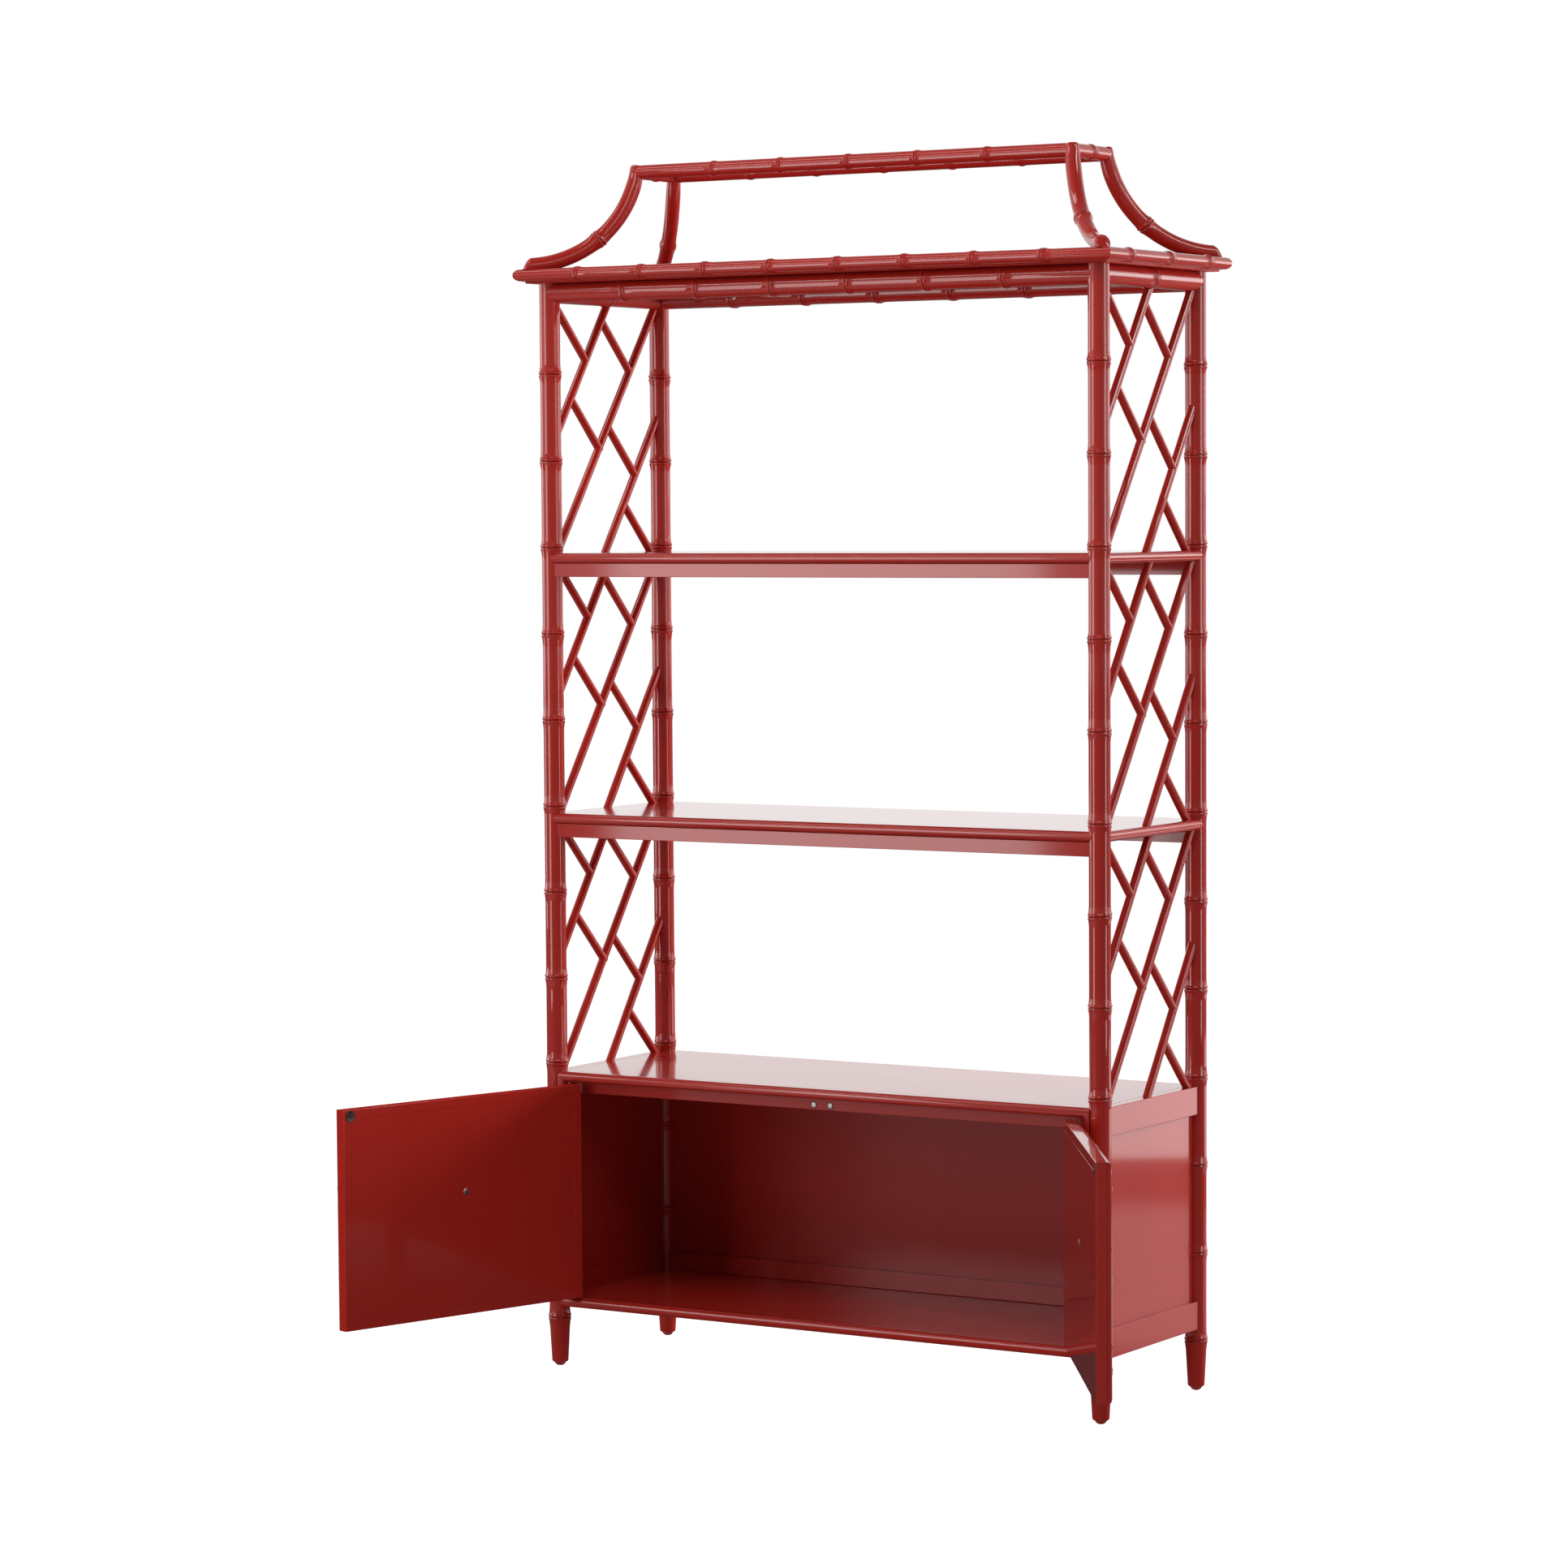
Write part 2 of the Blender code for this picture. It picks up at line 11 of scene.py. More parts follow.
import bpy
import numpy as np
from mathutils import Matrix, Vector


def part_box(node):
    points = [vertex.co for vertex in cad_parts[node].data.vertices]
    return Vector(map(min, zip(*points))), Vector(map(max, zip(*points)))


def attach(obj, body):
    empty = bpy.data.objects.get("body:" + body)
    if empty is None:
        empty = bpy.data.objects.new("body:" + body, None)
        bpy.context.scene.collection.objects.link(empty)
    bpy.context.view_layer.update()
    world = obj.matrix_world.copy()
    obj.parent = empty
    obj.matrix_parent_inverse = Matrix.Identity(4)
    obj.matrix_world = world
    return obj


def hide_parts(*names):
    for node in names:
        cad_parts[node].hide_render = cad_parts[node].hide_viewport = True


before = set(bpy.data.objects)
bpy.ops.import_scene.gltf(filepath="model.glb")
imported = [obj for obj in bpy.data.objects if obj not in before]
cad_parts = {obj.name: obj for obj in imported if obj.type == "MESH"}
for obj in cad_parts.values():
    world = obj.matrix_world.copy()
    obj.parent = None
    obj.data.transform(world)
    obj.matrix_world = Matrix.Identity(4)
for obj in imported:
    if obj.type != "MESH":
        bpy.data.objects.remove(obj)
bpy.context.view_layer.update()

# %% [markdown]
# ## Places read from the solids
# A maker sets a stand like this out from its four posts. The same is done here: the middle of the posts is the
# home of all later drawings, and heights are read from the boxes of the boards, so the numbers stay the CAD's.

# %% Find the posts and the levels


def box(node):
    """Lowest and highest corner of a solid, as two arrays."""
    low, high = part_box(node)
    return np.array(low), np.array(high)


def middle(node):
    """Centre of a solid's box."""
    return sum(box(node)) / 2


sides = (("left", -1), ("right", 1))
ends = (("front", -1), ("rear", 1))
post_middles = np.array([middle(f"{end}_{side}_post") for side, _ in sides for end, _ in ends])
home = np.array([*post_middles[:, :2].mean(axis=0), 0.0])
axis_x, axis_y = np.abs(post_middles - home)[:, :2].mean(axis=0)
cabinet_top = box("cabinet_top")[1][2]
door_head = box("cabinet_top")[0][2]
door_sill = box("cabinet_floor")[1][2]
case_bottom = box("back_panel")[0][2]
shelf_tops = [box(name)[1][2] for name in ("lower_shelf", "upper_shelf")]
cornice_top = box("top_panel")[1][2]
print("posts at", round(axis_x, 4), round(axis_y, 4), "shelves at", np.round(shelf_tops, 4))

# %% [markdown]
# ## Camera
# The photograph was taken from the front right, a little above the shelves, with a long lens. The view was solved
# once from measured edges of the stand, so the camera is placed by its bearing, pitch and roll. A small shift
# puts the optical axis where the photograph has it.

# %% Set the camera
photo_side = 1932
view_from = home + np.array([4.18704, -7.02305, 1.52838])
yaw, pitch, roll = np.radians([31.774, -4.098, -0.386])
ahead = np.array([-np.sin(yaw) * np.cos(pitch), np.cos(yaw) * np.cos(pitch), np.sin(pitch)])
level_right = np.array([np.cos(yaw), np.sin(yaw), 0.0])
level_up = np.cross(level_right, ahead)
right = level_right * np.cos(roll) + level_up * np.sin(roll)
up = level_up * np.cos(roll) - level_right * np.sin(roll)
lens = bpy.data.cameras.new("camera")
lens.sensor_width = 36.0
lens.lens = 5783.4 / photo_side * lens.sensor_width
lens.shift_x = -8.2 / photo_side
lens.shift_y = 73.6 / photo_side
lens.clip_end = 100.0
camera = bpy.data.objects.new("camera", lens)
pose = np.eye(4)
pose[:3, :3] = np.stack([right, up, -ahead], axis=1)
pose[:3, 3] = view_from
camera.matrix_world = Matrix(pose)
bpy.context.scene.collection.objects.link(camera)
bpy.context.scene.camera = camera
print("lens", round(lens.lens, 2), "mm at", np.round(view_from, 3))

# %% [markdown]
# ## Studio
# Gloss paint shows its studio. The long streaks down the posts are white walls at both sides and a dim space in
# front, and the pink shine on the shelf aprons is a tall soft box to the front left. The walls are painted on the
# world, where only reflections see them, and the boxes are real area lamps. The background is plain white to the
# camera, and the floor adds white to a pale diffuse coat, so that it still keeps the shadow.

# %% Paint the walls on the world


def node(tree, kind, inputs=(), **settings):
    """Add a node, set its plain properties, and then fill or link its inputs."""
    made = tree.nodes.new(kind)
    for key, value in settings.items():
        setattr(made, key, value)
    for key, value in dict(inputs).items():
        if isinstance(value, bpy.types.NodeSocket):
            tree.links.new(value, made.inputs[key])
        else:
            made.inputs[key].default_value = value
    return made


def ramp(tree, value, stops):
    """A grey ramp through (position, brightness) stops."""
    made = node(tree, "ShaderNodeValToRGB", {"Fac": value})
    bar = made.color_ramp.elements
    while len(bar) < len(stops):
        bar.new(0.5)
    for element, (position, bright) in zip(bar, stops):
        element.position = position
        element.color = (bright, bright, bright, 1.0)
    return made.outputs["Color"]


def bearing(degrees):
    """Share of a full turn on the wall ramp: 0.5 looks at the camera, more is to its right."""
    return degrees / 360 + 0.5


toward_camera = (np.sin(yaw), -np.cos(yaw), 0.0)
beside_camera = (np.cos(yaw), np.sin(yaw), 0.0)
world = bpy.data.worlds.new("studio")
bpy.context.scene.world = world
world.use_nodes = True
tree = world.node_tree
tree.nodes.clear()
way = node(tree, "ShaderNodeTexCoord").outputs["Generated"]
facing = node(tree, "ShaderNodeVectorMath", {0: way, 1: toward_camera}, operation="DOT_PRODUCT").outputs["Value"]
beside = node(tree, "ShaderNodeVectorMath", {0: way, 1: beside_camera}, operation="DOT_PRODUCT").outputs["Value"]
turn = node(tree, "ShaderNodeMath", {0: beside, 1: facing}, operation="ARCTAN2").outputs["Value"]
share = node(tree, "ShaderNodeMapRange", {"Value": turn, "From Min": -math.pi, "From Max": math.pi})
wall_stops = [(0.0, 1.0), (bearing(-120), 1.15), (bearing(-72), 1.1), (bearing(-46), 0.38), (bearing(-20), 0.27)]
wall_stops += [(bearing(10), 0.22), (bearing(46), 0.4), (bearing(58), 1.0), (bearing(125), 1.2), (1.0, 1.0)]
walls = ramp(tree, share.outputs["Result"], wall_stops)
height = node(tree, "ShaderNodeSeparateXYZ", {"Vector": way}).outputs["Z"]
rise = node(tree, "ShaderNodeMapRange", {"Value": height, "From Min": -1.0, "From Max": 1.0})
dimming = ramp(tree, rise.outputs["Result"], [(0.0, 0.4), (0.45, 1.0), (0.62, 1.0), (0.8, 0.25), (1.0, 0.2)])
studio = node(tree, "ShaderNodeMix", {0: 1.0, 6: walls, 7: dimming}, data_type="RGBA", blend_type="MULTIPLY")
path = node(tree, "ShaderNodeLightPath").outputs
even = node(tree, "ShaderNodeMapRange", {"Value": studio.outputs[2], "From Min": 0.2, "To Max": 0.86}).outputs["Result"]
soft = node(tree, "ShaderNodeBackground", {"Color": (1.0, 1.0, 1.0, 1.0), "Strength": even}).outputs[0]
mirrored = node(tree, "ShaderNodeBackground", {"Color": studio.outputs[2], "Strength": 1.0}).outputs[0]
white = node(tree, "ShaderNodeBackground", {"Color": (1.0, 1.0, 1.0, 1.0), "Strength": 1.0}).outputs[0]
lit = node(tree, "ShaderNodeMixShader", {0: path["Is Glossy Ray"], 1: soft, 2: mirrored}).outputs[0]
clear = node(tree, "ShaderNodeMath", {0: path["Is Camera Ray"], 1: path["Is Transmission Ray"]}, operation="MAXIMUM")
sky = node(tree, "ShaderNodeMixShader", {0: clear.outputs[0], 1: lit, 2: white}).outputs[0]
node(tree, "ShaderNodeOutputWorld", {"Surface": sky})
print("world nodes", len(tree.nodes))

# %% Hang the soft boxes


def soft_box(name, bearing_degrees, distance, centre_height, width, tall, shine, aim_height, lengthwise=None):
    """An area lamp at a bearing from the camera line, turned to face the stand. Shine is its brightness against white."""
    angle = math.radians(bearing_degrees)
    out = np.array(toward_camera) * math.cos(angle) + np.array(beside_camera) * math.sin(angle)
    place = home + out * distance + np.array([0.0, 0.0, centre_height])
    lamp = bpy.data.lights.new(name, "AREA")
    lamp.shape = "RECTANGLE"
    lamp.size = width
    lamp.size_y = tall
    lamp.energy = shine * math.pi * width * tall
    back = place - (home + np.array([0.0, 0.0, aim_height]))
    back /= np.linalg.norm(back)
    across = np.cross([0.0, 0.0, 1.0], back) if lengthwise is None else lengthwise - back * np.dot(back, lengthwise)
    across /= np.linalg.norm(across)
    holder = bpy.data.objects.new(name, lamp)
    turned = np.eye(4)
    turned[:3, :3] = np.stack([across, np.cross(back, across), back], axis=1)
    turned[:3, 3] = place
    holder.matrix_world = Matrix(turned)
    holder.visible_camera = False
    bpy.context.scene.collection.objects.link(holder)
    return holder


lamps = [
    soft_box("left_key", -61, 3.2, 1.2, 1.02, 1.7, 4.0, 1.2),
    soft_box("left_top", -63.5, 3.3, 3.35, 1.25, 0.28, 5.0, 1.9),
    soft_box("top_strip", -87, 1.58, 3.9, 2.0, 0.35, 4.0, 1.9, np.array([1.0, 0.0, 0.0])),
    soft_box("right_strip", 61, 3.2, 1.5, 0.7, 2.4, 4.2, 1.2),
    soft_box("left_back_box", -109, 3.2, 1.35, 0.75, 1.6, 3.4, 1.3),
    soft_box("right_back_low", 112, 3.2, 0.16, 1.6, 0.28, 2.1, 0.16),
    soft_box("right_back_high", 111, 3.2, 2.0, 0.6, 0.9, 2.8, 1.7),
    soft_box("front_strip", 0, 3.0, 3.0, 2.6, 0.3, 4.0, 1.0),
    soft_box("right_top", 64, 2.95, 3.62, 1.7, 0.55, 8.0, 1.8, np.array([0.25, 0.71, -0.66])),
]
fills = [
    soft_box("front_fill", -10, 2.7, 4.4, 2.6, 2.0, 4.5, 1.2),
    soft_box("right_fill", 112, 3.2, 1.3, 1.8, 1.6, 14.5, 0.9),
    soft_box("back_fill", 180, 1.6, 4.4, 2.6, 1.6, 4.4, 0.9),
]
for fill in fills:
    fill.visible_glossy = False
lamps[3].visible_diffuse = False
lamps[-1].visible_diffuse = False
print("lamps", [lamp.name for lamp in lamps])

# %% Lay the floor
floor_size = 30.0
floor_gap = 0.0005
corners = np.array([[-1, -1, 0], [1, -1, 0], [1, 1, 0], [-1, 1, 0]], float) * floor_size
floor_mesh = bpy.data.meshes.new("floor")
floor_mesh.from_pydata((corners - [0, 0, floor_gap]).tolist(), [], [(0, 1, 2, 3)])
floor = bpy.data.objects.new("floor", floor_mesh)
bpy.context.scene.collection.objects.link(floor)
paper = bpy.data.materials.new("floor_paper")
paper.use_nodes = True
tree = paper.node_tree
tree.nodes.clear()
path = node(tree, "ShaderNodeLightPath").outputs
pale = node(tree, "ShaderNodeMapRange", {"Value": path["Is Glossy Ray"], "To Min": 0.2, "To Max": 0.0})
coat = node(tree, "ShaderNodeBsdfDiffuse", {"Color": pale.outputs["Result"]}).outputs[0]
where = node(tree, "ShaderNodeTexCoord").outputs["Object"]


def pool(bearing_degrees, distance, inner, outer, shine):
    """A soft round pool of light on the floor, as reflections see it: bright inside one radius, gone outside another."""
    angle = math.radians(bearing_degrees)
    spot = home + distance * (np.array(toward_camera) * math.cos(angle) + np.array(beside_camera) * math.sin(angle))
    away = node(tree, "ShaderNodeVectorMath", {0: where, 1: tuple(spot)}, operation="DISTANCE").outputs["Value"]
    made = node(tree, "ShaderNodeMapRange", {"Value": away, "From Min": inner, "From Max": outer, "To Min": shine,
                                             "To Max": 0.07}, interpolation_type="SMOOTHSTEP")
    return made.outputs["Result"]


near = node(tree, "ShaderNodeMath", {0: pool(-63, 3.2, 0.8, 3.0, 0.5), 1: pool(108, 1.7, 0.7, 1.15, 0.62)}, operation="ADD")
away = node(tree, "ShaderNodeVectorMath", {0: where, 1: tuple(home)}, operation="DISTANCE").outputs["Value"]
shade = node(tree, "ShaderNodeMapRange", {"Value": away, "From Min": 0.4, "From Max": 1.0, "To Min": 0.2},
             interpolation_type="SMOOTHSTEP").outputs["Result"]
near = node(tree, "ShaderNodeMath", {0: near.outputs[0], 1: shade}, operation="MULTIPLY")
seen = node(tree, "ShaderNodeMath", {0: path["Is Glossy Ray"], 1: near.outputs[0]}, operation="MULTIPLY").outputs[0]
bounced = node(tree, "ShaderNodeMath", {0: path["Is Diffuse Ray"], 1: 0.42}, operation="MULTIPLY").outputs[0]
seen = node(tree, "ShaderNodeMath", {0: bounced, 1: seen}, operation="MAXIMUM").outputs[0]
seen = node(tree, "ShaderNodeMath", {0: path["Is Camera Ray"], 1: seen}, operation="MAXIMUM").outputs[0]
seen = node(tree, "ShaderNodeMath", {0: path["Is Transmission Ray"], 1: seen}, operation="MAXIMUM").outputs[0]
glow = node(tree, "ShaderNodeEmission", {"Color": (1.0, 1.0, 1.0, 1.0), "Strength": seen}).outputs[0]
both = node(tree, "ShaderNodeAddShader", {0: coat, 1: glow}).outputs[0]
node(tree, "ShaderNodeOutputMaterial", {"Surface": both})
floor_mesh.materials.append(paper)
bpy.context.scene.view_settings.view_transform = "Standard"
print("floor", floor_size * 2, "m across")

# %% [markdown]
# ## Red lacquer
# The stand is sprayed in one glossy red. Close up the coat is not flat: it has the fine ripple that painters call
# orange peel, longer waves where the wood under it moved, and a little change of depth in the colour. The grooves
# of the bamboo rings are painted darker, partly for paint that pools there and partly as painted shade. A
# Principled shader with a clear coat gives the two sharp and soft reflections. Three noises on Object coordinates
# give ripple, waves and depth, and an attribute that each turned piece carries says where its grooves are and so
# where the shade is painted. Boards get a third ripple drawn out along their grain.

# %% Mix the lacquer
deep_red = (0.34, 0.0165, 0.0108, 1.0)
bright_red = (0.385, 0.0195, 0.0128, 1.0)
# Painted shade: ring grooves are painted this dark red, which also stands for paint pooled in them.
shaded_pool_red = (0.15, 0.005, 0.0035, 1.0)


def lacquer(name, grain, coat, gloss, peel, waves):
    """Red lacquer. Grain stretches the grain ripple along x, y and z, coat and gloss are the weight and roughness of
    the clear coat, and peel and waves are (height, scale) of two bumps."""
    made = bpy.data.materials.new(name)
    made.use_nodes = True
    tree = made.node_tree
    tree.nodes.clear()
    place = node(tree, "ShaderNodeTexCoord").outputs["Object"]
    depth = node(tree, "ShaderNodeTexNoise", {"Vector": place, "Scale": 7.0, "Detail": 4.0}).outputs["Fac"]
    paint = node(tree, "ShaderNodeMix", data_type="RGBA")
    tree.links.new(depth, paint.inputs[0])
    paint.inputs[6].default_value = deep_red
    paint.inputs[7].default_value = bright_red
    # Painted shade: the groove mark mixes the paint towards the dark red, for shade and pooled paint in the cuts.
    groove_shade = node(tree, "ShaderNodeAttribute", attribute_name="groove_shade").outputs["Fac"]
    shaded_pool_paint = node(tree, "ShaderNodeMix", data_type="RGBA")
    tree.links.new(groove_shade, shaded_pool_paint.inputs[0])
    tree.links.new(paint.outputs[2], shaded_pool_paint.inputs[6])
    shaded_pool_paint.inputs[7].default_value = shaded_pool_red
    ripple = node(tree, "ShaderNodeTexNoise", {"Vector": place, "Scale": peel[1], "Detail": 1.0}).outputs["Fac"]
    swell = node(tree, "ShaderNodeTexNoise", {"Vector": place, "Scale": waves[1], "Detail": 1.5}).outputs["Fac"]
    drawn = node(tree, "ShaderNodeMapping", {"Vector": place, "Scale": grain}).outputs["Vector"]
    fibre = node(tree, "ShaderNodeTexNoise", {"Vector": drawn, "Scale": 1.0, "Detail": 2.0}).outputs["Fac"]
    peeled = node(tree, "ShaderNodeBump", {"Height": ripple, "Strength": 1.0, "Distance": peel[0]}).outputs["Normal"]
    waved = node(tree, "ShaderNodeBump", {"Height": swell, "Strength": 1.0, "Distance": waves[0], "Normal": peeled})
    grained = node(tree, "ShaderNodeBump", {"Height": fibre, "Strength": 1.0, "Distance": peel[0] * 0.25})
    tree.links.new(waved.outputs["Normal"], grained.inputs["Normal"])
    rubbed = node(tree, "ShaderNodeTexNoise", {"Vector": place, "Scale": 9.0, "Detail": 1.0}).outputs["Fac"]
    sheen = node(tree, "ShaderNodeMapRange", {"Value": rubbed, "To Min": 0.26, "To Max": 0.34}).outputs["Result"]
    dry = node(tree, "ShaderNodeAttribute", attribute_name="dry").outputs["Fac"]
    film = node(tree, "ShaderNodeMapRange", {"Value": dry, "To Min": 0.05, "To Max": 0.0}).outputs["Result"]
    clear = node(tree, "ShaderNodeMapRange", {"Value": dry, "To Min": coat, "To Max": 0.0}).outputs["Result"]
    shader = node(tree, "ShaderNodeBsdfPrincipled", {
        "Base Color": shaded_pool_paint.outputs[2], "Roughness": sheen, "Normal": grained.outputs["Normal"],
        "Specular IOR Level": film, "Coat Weight": clear, "Coat Roughness": gloss, "Coat Normal": grained.outputs["Normal"],
    })
    node(tree, "ShaderNodeOutputMaterial", {"Surface": shader.outputs[0]})
    return made


along_x, along_y, along_z = (14.0, 420.0, 420.0), (420.0, 14.0, 420.0), (420.0, 420.0, 14.0)
round_lacquer = {axis: lacquer("round_lacquer_" + axis, grain, 1.0, 0.03, (0.00001, 330.0), (0.00003, 38.0))
                 for axis, grain in zip("xyz", (along_x, along_y, along_z))}
board_lacquer = {axis: lacquer("board_lacquer_" + axis, grain, 1.0, gloss, (peel, 160.0), (0.00003, 12.0))
                 for axis, grain, gloss, peel in zip("xyz", (along_x, along_y, along_z), (0.08, 0.08, 0.06), (0.0, 4e-6, 2e-6))}
strip_lacquer = lacquer("strip_lacquer", along_x, 1.0, 0.08, (0.000016, 430.0), (0.00003, 12.0))
inner_lacquer = lacquer("inner_lacquer", along_x, 0.55, 0.2, (0.0, 160.0), (0.00003, 12.0))
under_lacquer = lacquer("under_lacquer", along_x, 0.0, 0.5, (0.00004, 160.0), (0.00006, 12.0))
print("lacquers", len(round_lacquer) + len(board_lacquer) + 3)

# %% [markdown]
# ## Metals
# Only small metal shows: a pale magnet pair, dark strikes, screws, and brass knobs. The hinge pins and the glides
# were sprayed over with the rest. Each metal has a fine cast ripple and spots of tarnish, and shade is painted
# nearly black into screw slots and magnet cup rims.

# %% Mix the metals


def metal(name, clean, tarnished, smooth, rough, cast):
    """A metal that goes from a clean to a tarnished colour in spots, with a fine cast ripple and painted shade where
    its mark is set.
    """
    made = bpy.data.materials.new(name)
    made.use_nodes = True
    tree = made.node_tree
    tree.nodes.clear()
    place = node(tree, "ShaderNodeTexCoord").outputs["Object"]
    spots = node(tree, "ShaderNodeTexNoise", {"Vector": place, "Scale": 260.0, "Detail": 4.0}).outputs["Fac"]
    skin = node(tree, "ShaderNodeMix", data_type="RGBA")
    tree.links.new(spots, skin.inputs[0])
    skin.inputs[6].default_value = clean
    skin.inputs[7].default_value = tarnished
    # Painted shade: where the mark is set, slots and cup rims are painted nearly black.
    groove_shade = node(tree, "ShaderNodeAttribute", attribute_name="groove_shade").outputs["Fac"]
    slot_shade_paint = node(tree, "ShaderNodeMix", data_type="RGBA")
    tree.links.new(groove_shade, slot_shade_paint.inputs[0])
    tree.links.new(skin.outputs[2], slot_shade_paint.inputs[6])
    slot_shade_paint.inputs[7].default_value = (0.01, 0.009, 0.008, 1.0)
    dull = node(tree, "ShaderNodeMapRange", {"Value": spots, "To Min": smooth, "To Max": rough}).outputs["Result"]
    ripple = node(tree, "ShaderNodeTexNoise", {"Vector": place, "Scale": 900.0, "Detail": 1.0}).outputs["Fac"]
    cast = node(tree, "ShaderNodeBump", {"Height": ripple, "Strength": 1.0, "Distance": cast}).outputs["Normal"]
    shader = node(tree, "ShaderNodeBsdfPrincipled", {
        "Base Color": slot_shade_paint.outputs[2], "Roughness": dull, "Metallic": 1.0, "Normal": cast,
    })
    node(tree, "ShaderNodeOutputMaterial", {"Surface": shader.outputs[0]})
    return made


brass = metal("aged_brass", (0.62, 0.44, 0.17, 1.0), (0.4, 0.26, 0.09, 1.0), 0.14, 0.34, 0.00002)
magnet_steel = metal("magnet_steel", (0.74, 0.69, 0.66, 1.0), (0.5, 0.45, 0.42, 1.0), 0.45, 0.65, 0.00002)
dark_steel = metal("dark_steel", (0.13, 0.11, 0.1, 1.0), (0.04, 0.035, 0.033, 1.0), 0.3, 0.55, 0.00004)
screw_zinc = metal("screw_zinc", (0.6, 0.4, 0.34, 1.0), (0.36, 0.18, 0.14, 1.0), 0.35, 0.55, 0.00003)
print("metals mixed")

# %% [markdown]
# ## From a grid to a piece
# Every piece below is a grid of points. Rows run along it, columns run round it, and the columns join up into a
# tube. Its two end loops are closed, by one flat polygon or by strips that follow a hollow end. The faces are
# worked out as index arrays, which is far quicker than adding them one at a time, and the enclosed volume tells
# whether they all face out.

# %% Skin a grid and hand it to its body


def tube(grid, close="flat"):
    """Faces of a grid whose columns close: quads between rows, then both ends by a polygon or by strips, or none
    where the rows close too."""
    rows, columns = grid.shape[:2]
    index = np.arange(rows * columns).reshape(rows, columns)
    beside = np.roll(index, -1, axis=1)
    if close == "ring":
        above, over = np.roll(index, -1, axis=0), np.roll(beside, -1, axis=0)
        return [np.stack([index, beside, over, above], axis=-1).reshape(-1, 4)]
    faces = [np.stack([index[:-1], beside[:-1], beside[1:], index[1:]], axis=-1).reshape(-1, 4)]
    if close == "flat":
        return faces + [index[:1, ::-1], index[-1:]]
    half = columns // 2
    step = np.arange(1, half - 1)
    strip = np.stack([step, step + 1, columns - step - 1, columns - step], axis=-1)
    tips = np.array([[0, 1, columns - 1], [half - 1, half, half + 1]])
    last = index[-1, 0]
    return faces + [strip[:, ::-1], tips[:, ::-1], strip + last, tips + last]


def gather(shapes):
    """Several closed shapes, each (points, faces), as one list of points and faces."""
    starts = np.cumsum([0] + [len(points) for points, _ in shapes[:-1]])
    points = np.concatenate([points for points, _ in shapes])
    faces = [group + start for (_, groups), start in zip(shapes, starts) for group in groups]
    return points, faces


def volume(points, faces):
    """Enclosed volume: the sum of the signed boxes that each fan triangle spans with the origin, over six."""
    total = 0.0
    centred = points - points.mean(axis=0)
    for group in faces:
        first = centred[group[:, :1]]
        fan = np.cross(centred[group[:, 1:-1]], centred[group[:, 2:]])
        total += (first * fan).sum()
    return total / 6


triangles = {}


def put(name, points, faces, finish, body="case", stands_for=None, groove_shade=None, flat=False, dry=None):
    """Put points and faces into an object at the origin, facing out, and hand it to its body."""
    points = np.asarray(points, float).reshape(-1, 3)
    if volume(points, faces) < 0:
        faces = [group[:, ::-1] for group in faces]
    mesh = bpy.data.meshes.new(name)
    mesh.vertices.add(len(points))
    mesh.vertices.foreach_set("co", points.astype(np.float32).ravel())
    loops = np.concatenate([group.ravel() for group in faces])
    sizes = np.concatenate([np.full(len(group), group.shape[1]) for group in faces])
    mesh.loops.add(len(loops))
    mesh.loops.foreach_set("vertex_index", loops.astype(np.int32))
    mesh.polygons.add(len(sizes))
    mesh.polygons.foreach_set("loop_start", (np.cumsum(sizes) - sizes).astype(np.int32))
    mesh.update(calc_edges=True)
    mesh.shade_smooth()
    mesh.set_sharp_from_angle(angle=math.radians(40))
    # The first mark says where shade is painted into grooves and cuts; the second says where the clear coat is missing.
    for label, marks in (("groove_shade", groove_shade), ("dry", dry)):
        if marks is not None:
            kept = mesh.attributes.new(label, "FLOAT", "POINT")
            kept.data.foreach_set("value", np.clip(marks, 0, 1).astype(np.float32).ravel())
    mesh.materials.append(finish)
    piece = bpy.data.objects.new(name, mesh)
    bpy.context.scene.collection.objects.link(piece)
    if flat:
        even = piece.modifiers.new("flat_faces", "WEIGHTED_NORMAL")
        even.keep_sharp = True
    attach(piece, body)
    if stands_for:
        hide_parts(*stands_for)
    triangles[name] = int((sizes - 2).sum())
    return piece


print("grid tools ready")

# %% [markdown]
# ## Bamboo rings
# The posts are turned beech made to look like bamboo. At each ring the shaft swells a little, rises to a rounded
# ridge on one side, drops into a narrow cut, and rises to a lower lip on the other side. On a lathe the turner
# cuts this with a skew and a parting tool, so no two rings agree. The radius is therefore one formula of the
# distance from the cut and of the angle: a wide swell, two bumps and a notch, with each ring leaning a little.

# %% Radius of a bamboo shaft
swell_rise, swell_width = 0.0017, 0.0100
ridge_rise, ridge_place, ridge_width = 0.00085, 0.0032, 0.0022
lip_rise, lip_place, lip_width = 0.0006, -0.0028, 0.0020
cut_depth, cut_width = 0.0014, 0.0007
pit_depth, pit_place, pit_width, pit_count = 0.00022, 0.0062, 0.0015, 13
ring_reach = 0.022


